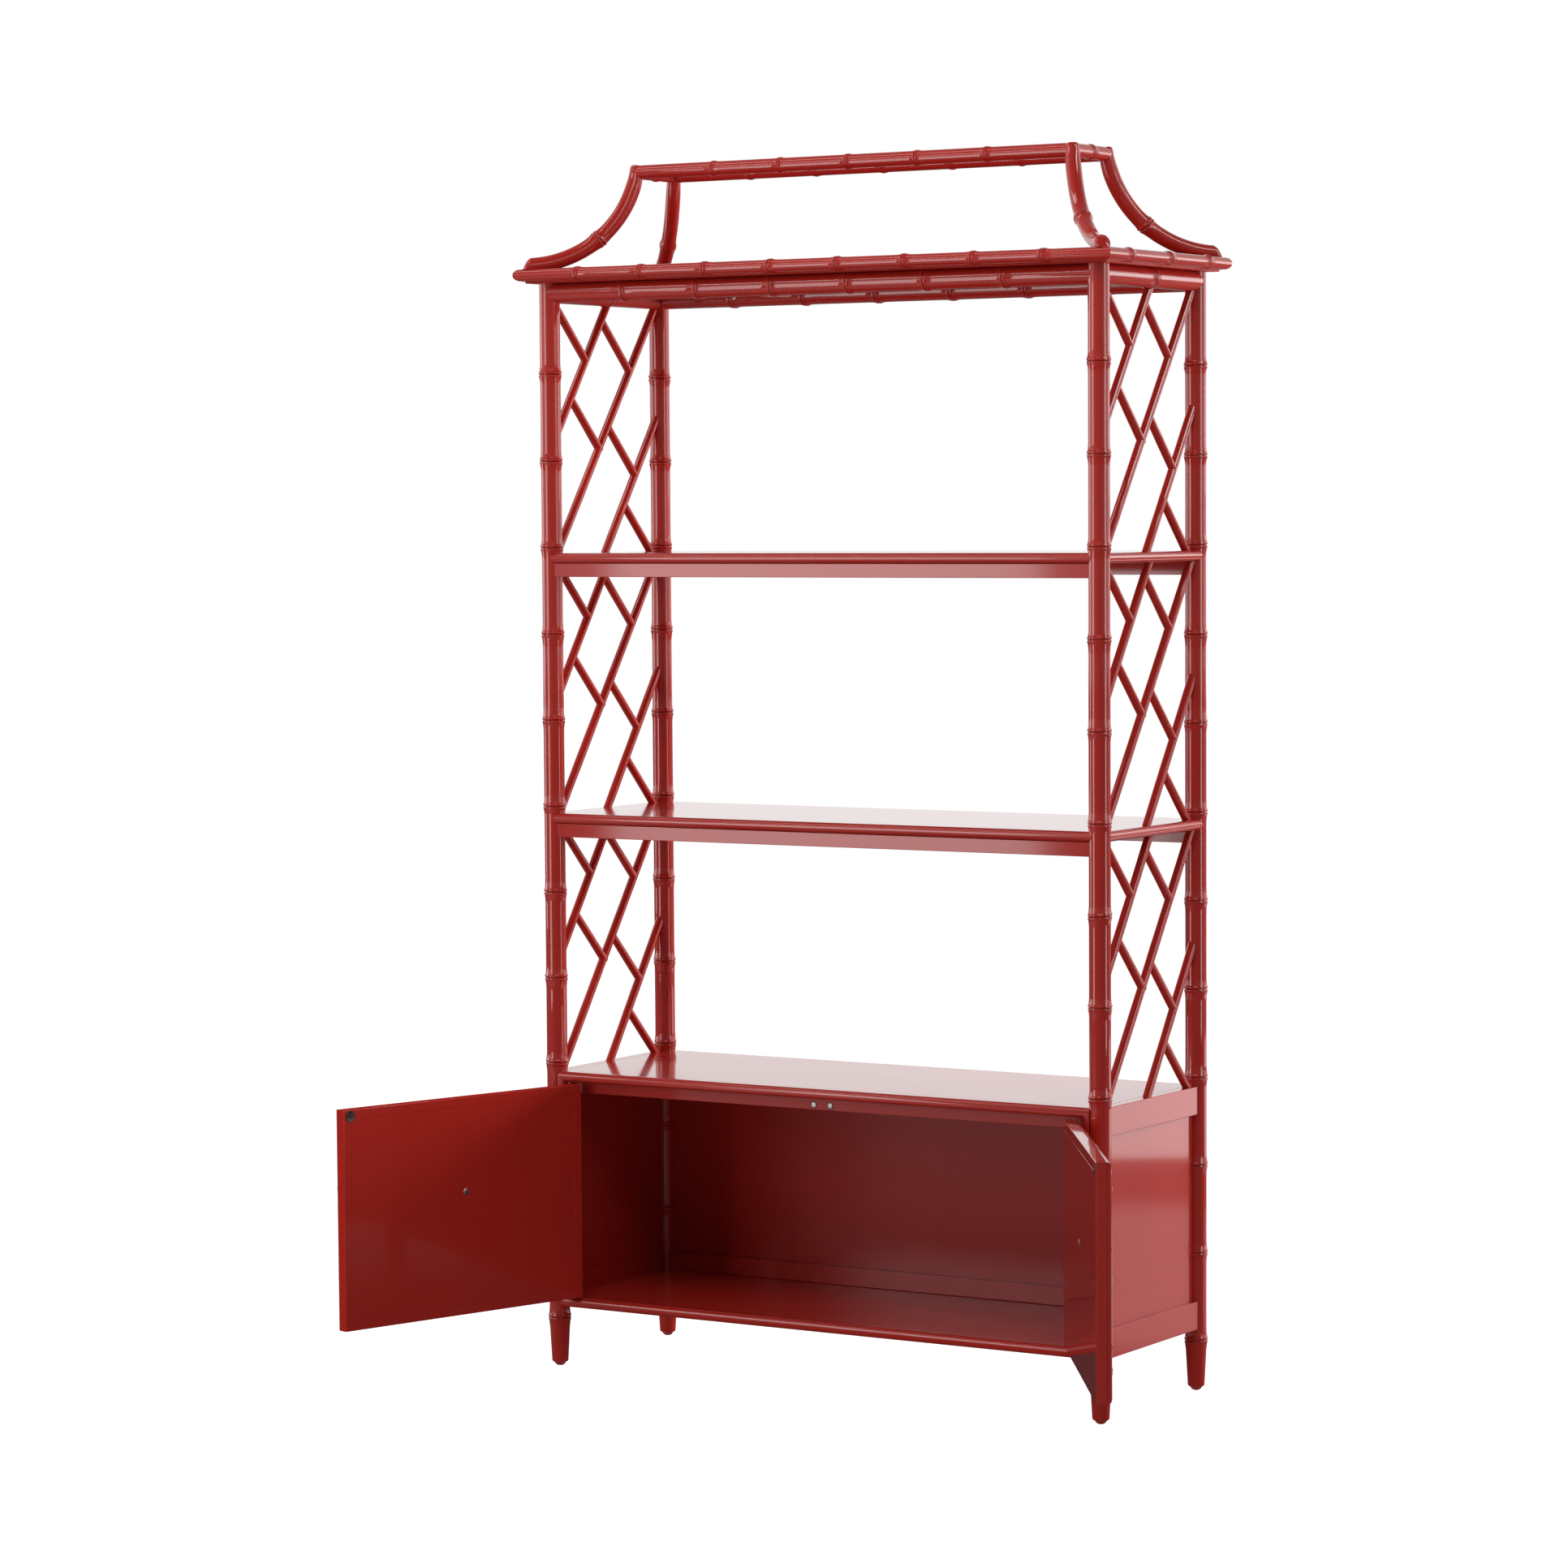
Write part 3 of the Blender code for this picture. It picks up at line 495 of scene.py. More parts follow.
def bamboo(along, turn, rings, radius, size=1.0, seed=1, upward=1):
    """Radius and a mark of each cut, painted darker for pooled paint and shade, over a grid of places along a shaft and
    angles round it.

    At a distance t from each ring the radius gains swell, ridge and lip, each a bell curve of t, and loses a thin
    bell at t = 0 and a few shallow pits beside the ridge. Each ring leans, so that t also follows the cosine of the
    angle, and its ridge is a little uneven.
    """
    chance = np.random.default_rng(seed)
    rings = np.asarray(rings, float)
    lean = 0.0006 * size * chance.normal(size=len(rings))
    heading = chance.uniform(0, 2 * np.pi, len(rings))
    uneven = chance.uniform(0, 2 * np.pi, len(rings))
    angle = turn[None, :, None]
    t = upward * (along[:, None, None] - rings - lean * np.cos(angle - heading)) / size
    knobbly = 1 + 0.10 * np.sin(5 * angle + uneven) + 0.07 * np.sin(11 * angle + 2 * uneven)
    rise = swell_rise * np.exp(-(t / swell_width) ** 2)
    rise += ridge_rise * knobbly * np.exp(-((t - ridge_place) / ridge_width) ** 2)
    rise += lip_rise * np.exp(-((t - lip_place) / lip_width) ** 2)
    cut = np.exp(-(t / cut_width) ** 2)
    pits = np.maximum(np.sin(pit_count * angle + 3 * uneven), 0) * np.exp(-((t - pit_place) / pit_width) ** 2)
    rise -= cut_depth * cut + pit_depth * pits
    return radius + size * rise.sum(axis=-1), cut.sum(axis=-1)


def stations(start, stop, rings, coarse=0.012, fine=0.0009):
    """Places along a shaft: even steps, with closer ones about each ring."""
    even = np.linspace(start, stop, max(int((stop - start) / coarse), 2))
    near = np.asarray(rings, float)[:, None] + np.arange(-ring_reach, ring_reach, fine)
    near = near[(near > start + fine) & (near < stop - fine)]
    clear = np.abs(even[:, None] - np.asarray(rings)).min(axis=1) > ring_reach + fine
    clear[[0, -1]] = True
    return np.unique(np.concatenate([even[clear], near]))


def angles(count):
    """Evenly spaced angles round a full turn."""
    return np.arange(count) * 2 * np.pi / count


print("tallest ring", round((swell_rise + ridge_rise) * 1000, 2), "mm")

# %% [markdown]
# ## Posts and glides
# Each post is one turned stick from the floor to the top, with twelve rings and a foot that tapers and is
# chamfered. A post is the simplest use of the formula: the grid's rows are heights and its columns angles. Every
# post has its own seed, so their rings differ as real ones do. A small domed glide, sprayed red, is under each foot.

# %% Turn the posts
post_radius, shaft_radius = 0.01905, 0.0182
ring_pitch, lowest_ring = 0.1524, 0.0885
foot_radius, foot_chamfer, taper_end = 0.0146, 0.004, 0.077
post_low, post_high = (corner[2] for corner in box("front_left_post"))
ring_count = int((post_high - lowest_ring) / ring_pitch)
post_rings = lowest_ring + ring_pitch * np.arange(ring_count)


def post(x, y, seed):
    """A turned post: the foot's taper and rounded chamfer, and then a plain shaft with rings."""
    heights = stations(post_low, post_high, post_rings)
    ease = np.linspace(0, np.pi / 2, 7)
    heights = np.unique(np.concatenate([heights, post_low + foot_chamfer * (1 - np.cos(ease))]))
    turn = angles(52)
    taper = np.interp(heights, [post_low + foot_chamfer, taper_end], [foot_radius, shaft_radius])
    under = np.clip(1 - (heights - post_low) / foot_chamfer, 0, 1)
    taper -= foot_chamfer * (1 - np.sqrt(1 - under ** 2))
    radius, cut = bamboo(heights, turn, post_rings, taper[:, None], 1.0, seed)
    grid = np.stack([x + radius * np.cos(turn), y + radius * np.sin(turn), heights[:, None] + 0 * radius], axis=-1)
    return grid, cut


seed = 20
for side, sign_x in sides:
    for end, sign_y in ends:
        seed += 1
        name = f"{end}_{side}_post"
        grid, cut = post(sign_x * axis_x, sign_y * axis_y, seed)
        put(name + "_bamboo", grid + home, tube(grid), round_lacquer["z"], stands_for=[name], groove_shade=cut)
print("posts", {name: count for name, count in triangles.items()})

# %% Nail on the glides


def turned(profile, turn_count=32):
    """A turned shape about the z axis through the origin, from rows of (radius, height)."""
    profile = np.asarray(profile, float)
    turn = angles(turn_count)
    radius, height = profile[:, :1], profile[:, 1:]
    return np.stack([radius * np.cos(turn), radius * np.sin(turn), height + 0 * turn], axis=-1)


glide_radius, glide_height = 0.0098, box("front_left_glide")[1][2]
dome = np.linspace(0.02, 1.45, 12)
glide_rows = np.stack([glide_radius * np.sin(dome), glide_height * (1 - np.cos(dome))], axis=1)
for side, sign_x in sides:
    for end, sign_y in ends:
        name = f"{end}_{side}_glide"
        grid = turned(glide_rows) + home + [sign_x * axis_x, sign_y * axis_y, 0.0]
        put(name + "_dome", grid, tube(grid), round_lacquer["z"], stands_for=[name])
print("glides", triangles["front_left_glide_dome"])

# %% [markdown]
# ## Round aprons, cornice and crest rails
# Under the top runs a thick round apron, round the top panel a thin bamboo cornice with mitred corners, and above
# stands a small frame of crest rails. All are straight bars with rings, so one function makes them. It keeps the
# rows between the outer rings where they are and stretches the last rows to the end cut: a hollow that fits the
# post or leg, or a mitre. Bars run a hair into what carries them, as glue and paint do.

# %% Shape the round bars
bury = 0.0003


def round_bar(half, reach, rings, radius, size, seed, upward=1, columns=36):
    """A bar along s with a hollow or mitred end: places along, distance out and height, with the cut marks where shade
    is painted.

    Rows past the last ring slide so that the final row lies at reach(out), a function of the distance out.
    """
    along = stations(-half, half, rings)
    turn = angles(columns)
    thick, cut = bamboo(along, turn, rings, radius, size, seed, upward)
    out, rise = thick * np.cos(turn), thick * np.sin(turn)
    still = max(np.abs(rings).max() + 0.01, half - 0.06)
    still = min(still, half - 0.03)
    past = np.abs(along)[:, None] > still
    slid = still + (np.abs(along)[:, None] - still) * (reach(out) - still) / (half - still)
    spot = np.where(past, np.sign(along)[:, None] * slid, along[:, None])
    return spot, out, rise, cut


def hollowed(half, radius):
    """Reach of a bar that butts against an upright round, and on its inner side against its neighbour."""
    return lambda out: half - np.maximum(np.sqrt(np.maximum((radius - bury) ** 2 - out ** 2, 0)), -out)


def mitred(half):
    """Reach of a bar cut at 45 degrees, longest on its outer side."""
    return lambda out: half + out


def round_frame(name, half_x, half_y, level, radius, size, reach, long_rings, short_rings, seed):
    """Four bars of one frame, the long ones at the front and rear and the short ones at the sides."""
    for number, (end, sign) in enumerate(ends):
        spot, out, rise, cut = round_bar(half_x, reach(half_x), long_rings, radius, size, seed + number)
        grid = np.stack([spot, sign * (half_y + out), level + rise], axis=-1)
        put(f"{end}_{name}_bamboo", grid + home, tube(grid, "strip"), round_lacquer["x"],
            stands_for=[f"{end}_{name}"], groove_shade=cut)
    for number, (side, sign) in enumerate(sides):
        spot, out, rise, cut = round_bar(half_y, reach(half_y), short_rings, radius, size, seed + 5 + number)
        grid = np.stack([sign * (half_x + out), spot, level + rise], axis=-1)
        put(f"{side}_{name}_bamboo", grid + home, tube(grid, "strip"), round_lacquer["y"],
            stands_for=[f"{side}_{name}"], groove_shade=cut)


def spaced(count, pitch, shift=0.0):
    """Evenly spaced places about the middle, all shifted by a little."""
    return (np.arange(count) - (count - 1) / 2) * pitch + shift


# %% Set the aprons and the cornice
apron_radius, cornice_radius, cornice_set = 0.0175, 0.0104, 0.011
apron_level = middle("left_apron")[2]
round_frame("apron", axis_x, axis_y, apron_level, apron_radius, 1.0,
            lambda half: hollowed(half, shaft_radius), spaced(6, 0.1516, -0.004), [0.0], 40)
cornice_level = cornice_top - cornice_radius
cornice_half = (box("front_cornice")[1] - box("front_cornice")[0])[0] / 2 - cornice_set
cornice_x = cornice_half
cornice_y = axis_y + cornice_x - axis_x
round_frame("cornice", cornice_x, cornice_y, cornice_level, cornice_radius, 0.9,
            mitred, spaced(8, 0.1321, 0.0018), spaced(3, 0.1416), 60)
print("apron", triangles["front_apron_bamboo"], "cornice", triangles["front_cornice_bamboo"])

# %% [markdown]
# ## Pagoda crest
# The crest is what gives the stand its roof line. Four bent canes sweep up and inward from the corners, each with
# one ring halfway, to a small frame of thin rails. A cane is a circle carried along an arc in the upright plane
# through its corner. At the top it ends in a dome where the rails meet it, and its foot is sawn at a slant and
# eased, sitting flat on the cornice.

# %% Bend the crest legs
crest_radius, leg_radius, crest_size = 0.0121, 0.0135, 0.69
head_radius, head_run = crest_radius + bury, 0.035
sweep_radius, sweep_start = 0.1985, math.radians(9.6)
foot_past, foot_slant, foot_round = 0.004, 0.3, 0.0085
sweep_centre = cornice_top + 0.0127 - 0.0063 + sweep_radius
crest_level = sweep_centre - sweep_radius * math.sin(sweep_start)
sweep_run = sweep_radius * math.cos(sweep_start) / math.sqrt(2)
foot_inset = 0.011
crest_x, crest_y = cornice_x - foot_inset - sweep_run + 0.003, cornice_y - foot_inset - sweep_run - 0.002
spread_x, spread_y = 1 + 0.0006 / sweep_run, 1 + 0.0124 / sweep_run


def crest_leg(sign_x, sign_y, seed):
    """A cane along an arc. Bend is the angle along the arc from its centre, and a point lies at the arc radius less
    its lift, run out along the diagonal by the cosine and dropped by the sine of the bend."""
    half_way = (sweep_start + math.pi / 2) / 2
    foot_end = math.pi / 2 * sweep_radius - foot_round + foot_past - foot_slant * 2 * leg_radius
    arc = stations(sweep_start * sweep_radius, foot_end, [half_way * sweep_radius], 0.006)
    turn = angles(40)
    slim = np.clip((arc - sweep_start * sweep_radius) / head_run, 0, 1)
    cane = head_radius + (leg_radius - head_radius) * slim ** 2 * (3 - 2 * slim)
    thick, cut = bamboo(arc, turn, [half_way * sweep_radius], cane[:, None], 1.0, seed, -1)
    head = np.array([0.995, 0.97, 0.9, 0.75, 0.5, 0.25])
    toe = np.radians([0, 15, 30, 45, 60, 75, 85])
    bend = np.concatenate([np.full(6, sweep_start), arc / sweep_radius, np.full(7, math.pi / 2)])
    extra = np.concatenate([head_radius * head, 0 * arc, foot_round * (1 - np.sin(toe)) - foot_past])
    slant = np.concatenate([0 * head, 0 * arc, np.full(7, foot_slant)])
    sunk = np.concatenate([0 * head, 0 * arc, foot_round * (1 - np.cos(toe))])
    thick = np.concatenate([head_radius * (1 - head ** 4)[:, None] ** 0.25 + 0 * turn, thick,
                            leg_radius - sunk[-7:, None] + 0 * turn])
    cut = np.concatenate([np.zeros((6, 40)), cut, np.zeros((7, 40))])
    bend, extra, slant = bend[:, None], extra[:, None], slant[:, None]
    sideways, lift = thick * np.cos(turn), thick * np.sin(turn) - sunk[:, None]
    inner = sweep_radius - lift
    run = sweep_radius * math.cos(sweep_start) - inner * np.cos(bend) - extra * np.sin(bend)
    run = run - slant * (lift + leg_radius)
    level = sweep_centre - inner * np.sin(bend) + extra * np.cos(bend)
    level = np.clip(level, cornice_top - bury, crest_level + crest_radius + bury)
    grid_x = sign_x * (crest_x + (run * spread_x - sideways) / math.sqrt(2))
    grid_y = sign_y * (crest_y + (run * spread_y + sideways) / math.sqrt(2))
    return np.stack([grid_x, grid_y, level], axis=-1), cut


seed = 80
for side, sign_x in sides:
    for end, sign_y in ends:
        seed += 1
        name = f"{end}_{side}_crest_leg"
        grid, cut = crest_leg(sign_x, sign_y, seed)
        put(name + "_cane", grid + home, tube(grid), round_lacquer["z"], stands_for=[name], groove_shade=cut)
round_frame("crest_rail", crest_x, crest_y, crest_level, crest_radius, crest_size,
            lambda half: hollowed(half, head_radius), spaced(5, 0.137), [0.0], 90)
print("crest leg", triangles["front_left_crest_leg_cane"], "level", round(crest_level, 4))

# %% [markdown]
# ## Boards
# Shelves, panels and rails are flat boards whose edges were broken with sandpaper before the lacquer, and that
# thin round edge is what catches the light. A board is an outline carried through its thickness: each loop is the
# outline moved inward along its mitres, by an amount that follows a quarter circle near each face. The same
# function draws a scribed line on a door, as loops that dip below the face.

# %% Outline and edge tools
ease_radius = 0.0009


def inset(outline, amounts):
    """The outline moved inward by each amount: a point goes along the sum of its two edge normals, scaled so that
    both edges move by the amount. Outlines run anticlockwise."""
    outline = np.asarray(outline, float)
    ahead = np.roll(outline, -1, axis=0) - outline
    ahead /= np.linalg.norm(ahead, axis=1, keepdims=True)
    after = np.stack([-ahead[:, 1], ahead[:, 0]], axis=1)
    before = np.roll(after, 1, axis=0)
    mitre = (after + before) / (1 + (after * before).sum(axis=1, keepdims=True))
    return outline + np.asarray(amounts, float)[:, None, None] * mitre


def eased(low, high, radius=ease_radius):
    """Rows of (inset, level) through a board's thickness, with quarter round edges."""
    bend = np.linspace(0, np.pi / 2, 5)
    lower = np.stack([radius * (1 - np.sin(bend)), low + radius * (1 - np.cos(bend))], axis=1)
    upper = np.stack([lower[::-1, 0], low + high - lower[::-1, 1]], axis=1)
    return np.concatenate([lower, upper])


def board(name, outline, rows, place, finish, stands_for, body="case", dry_rows=None):
    """A board from its outline and its rows of (inset, level). Place maps two outline axes and the level to x, y, z.
    Dry rows say how far each row misses the clear coat."""
    outline = np.asarray(outline, float)
    rows = np.asarray(rows, float)
    ahead = np.roll(outline, -1, axis=0)
    area = (outline[:, 0] * ahead[:, 1] - outline[:, 1] * ahead[:, 0]).sum() / 2
    if area < 0:
        outline = outline[::-1]
    loops = inset(outline, rows[:, 0])
    level = np.broadcast_to(rows[:, 1:], loops.shape[:2])
    grid = np.stack(place(loops[..., 0], loops[..., 1], level), axis=-1)
    dry = None if dry_rows is None else np.broadcast_to(np.asarray(dry_rows)[:, None], loops.shape[:2])
    return put(name, grid, tube(grid), finish, body, stands_for, flat=True, dry=dry)


def flat_lay(a, b, level):
    """A board that lies flat."""
    return a + home[0], b + home[1], level


def facing_front(a, b, level):
    """A board that stands across the stand: outline in x and z, thickness in y."""
    return a + home[0], level + home[1], b


def facing_side(a, b, level):
    """A board that stands at the side: outline in y and z, thickness in x."""
    return level + home[0], a + home[1], b


def rectangle(a0, a1, b0, b1):
    """Four corners, anticlockwise."""
    return np.array([[a0, b0], [a1, b0], [a1, b1], [a0, b1]])


# %% [markdown]
# ## Shelves and their aprons
# Each shelf is a board with a full round nose that passes between the posts and is hollowed round them. A plain
# strip stands a little behind the nose under the front and rear edges. The nose is not a constant inset, because
# the hollows stay true to the posts, so the loops are drawn afresh for each step of the nose.

# %% Cut the shelves
bead_height, bead_reach = 0.018, 0.01705
snug = shaft_radius - bury


def hollow(sign_x, sign_y, reach_side, reach_end, steps):
    """Points of one hollow round a post, from the board's front or rear edge to its side edge."""
    first = np.arctan2(reach_end, -np.sqrt(snug ** 2 - reach_end ** 2)) % (2 * np.pi)
    last = np.arctan2(-np.sqrt(snug ** 2 - reach_side ** 2), reach_side) % (2 * np.pi)
    turn = np.linspace(first, last, steps + 1)
    return np.stack([sign_x * (axis_x + snug * np.cos(turn)), sign_y * (axis_y + snug * np.sin(turn))], axis=1)


def notched(reach_side, reach_front, reach_rear, steps=20):
    """Outline of a board hollowed round the four posts."""
    return np.concatenate([
        hollow(1, -1, reach_side, reach_front, steps), hollow(1, 1, reach_side, reach_rear, steps)[::-1],
        hollow(-1, 1, reach_side, reach_rear, steps), hollow(-1, -1, reach_side, reach_front, steps)[::-1],
    ])


def nosed_board(top):
    """Loops of a shelf: the reach past the post line follows a half circle over the thickness."""
    radius = bead_height / 2
    turn = np.linspace(-np.pi / 2, np.pi / 2, 17)
    reach = bead_reach - radius * (1 - np.cos(turn))
    outlines = np.stack([notched(amount, amount, amount) for amount in reach])
    level = np.broadcast_to((top - radius + radius * np.sin(turn))[:, None, None], outlines.shape[:2] + (1,))
    return np.concatenate([outlines, level], axis=-1)


def coped(half, near, far, steps=12):
    """Outline of a strip from one post to the next, both ends hollowed to the posts: along, and off the post line."""
    off = np.linspace(near, far, steps)
    along = half - np.sqrt(snug ** 2 - off ** 2)
    return np.stack([np.concatenate([along, -along[::-1]]), np.concatenate([off, off[::-1]])], axis=1)


apron_setback, apron_thickness = 0.007, 0.015
for name, top in zip(("lower_shelf", "upper_shelf"), shelf_tops):
    grid = nosed_board(top)
    put(name + "_board", grid + home, tube(grid), board_lacquer["x"], stands_for=[name], flat=True)
    for end, sign in ends:
        node_name = f"{name}_{end}_apron"
        low, high = (corner[2] for corner in box(node_name))
        outer = post_radius - apron_setback
        strip = coped(axis_x, outer - apron_thickness, outer) * [1, sign] + [0, sign * axis_y]
        board(node_name + "_strip", strip, eased(low, high + bury), flat_lay, strip_lacquer, [node_name])
print("shelf", triangles["lower_shelf_board"], "apron strip", triangles["lower_shelf_front_apron_strip"])

# %% [markdown]
# ## Top panel and cabinet boards
# The top panel fills the cornice. The cabinet has a top, a floor, a back, and framed sides: two rails hollowed to
# the posts with a thin recessed panel between them. The thin dark line round the cabinet top in the photograph is
# the joint between board and rail, and two eased edges side by side draw it.

# %% Fit the cabinet
fit = 0.0003
rail_inner, rail_outer = -0.00695, 0.01105
frame_back, panel_thickness = 0.007, 0.006
low, high = (corner[2] for corner in box("top_panel"))
top_half_x, top_half_y = cornice_x - 0.002, cornice_y - 0.002
top_outline = rectangle(-top_half_x, top_half_x, -top_half_y, top_half_y)
board("top_panel_board", top_outline, eased(low, high), flat_lay, board_lacquer["x"], ["top_panel"])
board("top_panel_packing", inset(top_outline, [0.004])[0], eased(apron_level + apron_radius - 0.001, low + bury, 0.0004),
      flat_lay, under_lacquer, None)
board("cabinet_top_board", notched(rail_inner - fit, -frame_back - fit, rail_outer), eased(door_head, cabinet_top, 0.0005),
      flat_lay, board_lacquer["x"], ["cabinet_top"])
floor_low = box("cabinet_floor")[0][2]
board("cabinet_floor_board", notched(rail_inner - fit, -frame_back - fit, -panel_thickness / 2 - fit),
      eased(floor_low, door_sill), flat_lay, inner_lacquer, ["cabinet_floor"])
housed = 0.008
for name, finish in (("back_panel", inner_lacquer), ("back_rail", inner_lacquer), ("header", strip_lacquer)):
    low, high = (corner - home for corner in box(name))
    board(name + "_board", rectangle(low[0] - housed, high[0] + housed, low[2], high[2]), eased(low[1], high[1]),
          facing_front, finish, [name])
for side, sign in sides:
    for tier in ("upper", "lower"):
        name = f"{side}_{tier}_rail"
        low, high = (corner[2] for corner in box(name))
        strip = coped(axis_y, rail_inner, rail_outer)[:, ::-1] * [sign, 1] + [sign * axis_x, 0]
        board(name + "_board", strip, eased(low, high), flat_lay, board_lacquer["y"], [name])
    name = f"{side}_side_panel"
    low, high = (corner - home for corner in box(name))
    edge_y = axis_y - post_radius + 0.004
    board(name + "_board", rectangle(-edge_y, edge_y, low[2] - 2 * fit, high[2] + 2 * fit),
          eased(low[0], high[0], 0.0004), facing_side, board_lacquer["z"], [name])
print("cabinet boards", sum(name.endswith("_board") for name in triangles))

# %% [markdown]
# ## Side frets
# Three long rods lean back in each open bay and five short rods cross them, all stub-jointed. Each rod is a round
# bar whose ends are buried in the posts, shelves or longer rods. A rod was planed by hand, so its thickness drifts
# slightly, which makes its highlight waver.

# %% Joint the frets
rod_radius, cross_radius, cross_slope = 0.0075, 0.0072, 1.0
cad_snug, rod_shy = post_radius + 0.001, 0.0015


def rod(x, first, last, radius, seed, columns=20):
    """A round rod between two points in the side plane, its radius drifting as two slow sines."""
    chance = np.random.default_rng(seed)
    first, last = np.asarray(first), np.asarray(last)
    length = np.linalg.norm(last - first)
    unit = (last - first) / length
    along = np.linspace(0, length, max(int(length / 0.008), 4))[:, None]
    turn = angles(columns)
    phase = chance.uniform(0, 2 * np.pi, 2)
    thick = radius * (1 + 0.012 * np.sin(along * 41 + phase[0]) + 0.008 * np.sin(along * 97 + phase[1]))
    across = thick * np.cos(turn)
    grid = np.stack([x + thick * np.sin(turn), first[0] + along * unit[0] - across * unit[1],
                     first[1] + along * unit[1] + across * unit[0]], axis=-1)
    return (grid + home).reshape(-1, 3), tube(grid)


def fret(x, low, high, seed):
    """Rods of one bay. Long rods keep one slope; cross rods fall back at 45 degrees from shares of the bay's height."""
    tall, deep = high - low, axis_y - cad_snug
    reach = deep - rod_shy
    slope = tall / (2 * reach)
    levels = (high - 0.0023, (low + high) / 2 - 0.003, low + 0.011)

    def on_long(level, depth):
        return np.array([depth, level + slope * depth])

    def meeting(share, level, lap=0.0):
        depth = (low + share * tall - level) / (slope + cross_slope)
        return on_long(level, depth) + np.array([1.0, -cross_slope]) / math.sqrt(2) * lap

    def passing(share, depth):
        return np.array([depth, low + share * tall - cross_slope * depth])

    run = np.array([1.0, slope]) / math.hypot(1.0, slope) * 0.009
    lap, wall = rod_radius * 0.1, deep + 0.011
    upper, centre, lower = levels
    runs = [
        (on_long(upper, -wall), on_long(upper, 0.0) + run),
        (np.array([-deep - 0.005, low]) - run, on_long(centre, reach) + run),
        (on_long(lower, 0.0) - 2 * run, on_long(lower, wall)),
    ]
    crosses = [
        (passing(0.632, -wall), meeting(0.632, upper, lap)), (meeting(0.914, upper), meeting(0.914, centre, lap)),
        (meeting(0.366, upper), meeting(0.366, centre, lap)), (meeting(0.522, centre), meeting(0.522, lower, lap)),
        (meeting(0.317, lower), passing(0.317, wall)),
    ]
    rods = [rod(x, first, last, rod_radius, seed + i) for i, (first, last) in enumerate(runs)]
    rods += [rod(x, first, last, cross_radius, seed + 5 + i) for i, (first, last) in enumerate(crosses)]
    return gather(rods)


bays = [("lower", cabinet_top, shelf_tops[0] - bead_height), ("middle", shelf_tops[0], shelf_tops[1] - bead_height),
        ("upper", shelf_tops[1], box("left_upper_lattice")[1][2])]
seed = 200
for tier, low, high in bays:
    for side, sign in sides:
        seed += 20
        points, faces = fret(sign * axis_x, low, high, seed)
        name = f"{side}_{tier}_lattice"
        put(name + "_rods", points, faces, round_lacquer["z"], stands_for=[name])
print("frets", triangles["left_lower_lattice_rods"])

# %% [markdown]
# ## Beaded door frame
# The opening is framed by a bead with a narrow quirk at its inner edge, mitred at the corners, and its uprights are
# hollowed to the posts. It is one profile carried round four corners. The profile lies in the depth of the frame
# and its distance out from the opening. On the uprights that distance is squeezed into the room beside the post.

# %% Run the bead round the opening
opening_half = axis_x - post_radius - 0.007
quirk = 0.0012


def bead_profile():
    """Distance out and depth of the frame's section: inner face, quirk, half round, outer face."""
    radius = bead_height / 2 - quirk
    face = -axis_y - bead_reach
    back = -axis_y + frame_back
    turn = np.linspace(0, np.pi, 25)
    wide = np.where(turn < np.pi / 2, radius, bead_height / 2)
    round_part = np.stack([bead_height / 2 - wide * np.cos(turn), face + radius - radius * np.sin(turn)], axis=1)
    step = face + radius + 0.0004
    inner = [[0.0, back], [0.0, step + 0.004], [0.0, step + 0.0005], [0.0004, step], [quirk * 0.8, step]]
    return np.concatenate([inner, round_part, [[bead_height, step + 0.004], [bead_height, back]]])


def door_frame():
    """The profile at four mitres, with the uprights squeezed to the room between the opening and the post."""
    out, depth = bead_profile().T
    room = axis_x - np.sqrt(np.maximum(snug ** 2 - (depth + axis_y) ** 2, 0)) - opening_half
    loops = []
    for sign_x, sign_z in ((-1, -1), (1, -1), (1, 1), (-1, 1)):
        x = sign_x * (opening_half + out * room / bead_height)
        z = door_head + out if sign_z > 0 else door_sill - out
        loops.append(np.stack([x, depth, z], axis=-1))
    return np.stack(loops)


grid = door_frame()
put("door_frame_bead", grid + home, tube(grid, "ring"), board_lacquer["x"], stands_for=["door_frame"])
print("door frame", triangles["door_frame_bead"])

# %% [markdown]
# ## Doors
# Each door is a slab with a lipping line scribed round its inner face, and a half-round bamboo moulding mitred
# round its outer face. It hangs on two pins at the post side. A door is drawn shut about its pin line, in its own
# axes, and then swung to the angle that the photograph shows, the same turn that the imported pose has.

# %% Draw the slabs
door_width, door_thickness, pin_offset = 0.51745, 0.018, 0.0035
moulding_radius = 0.0085
door_low, door_high = (corner[2] for corner in box("left_door"))
door_height = door_high - door_low
scribe_in, scribe_width, scribe_depth = 0.0165, 0.0004, 0.0003
doors = []
for side, direction, degrees in (("left", 1, -107.0), ("right", -1, 124.0)):
    pin = middle(f"{side}_upper_hinge_pin")
    doors.append((side, direction, math.radians(degrees), np.array([pin[0], pin[1], door_low])))


def swung(points, swing, pivot):
    """Points in a shut door's own axes, turned about the pin line and set on it."""
    x, y, z = np.moveaxis(np.asarray(points, float), -1, 0)
    turned_x = x * math.cos(swing) - y * math.sin(swing)
    turned_y = x * math.sin(swing) + y * math.cos(swing)
    return np.stack([turned_x, turned_y, z], axis=-1) + pivot


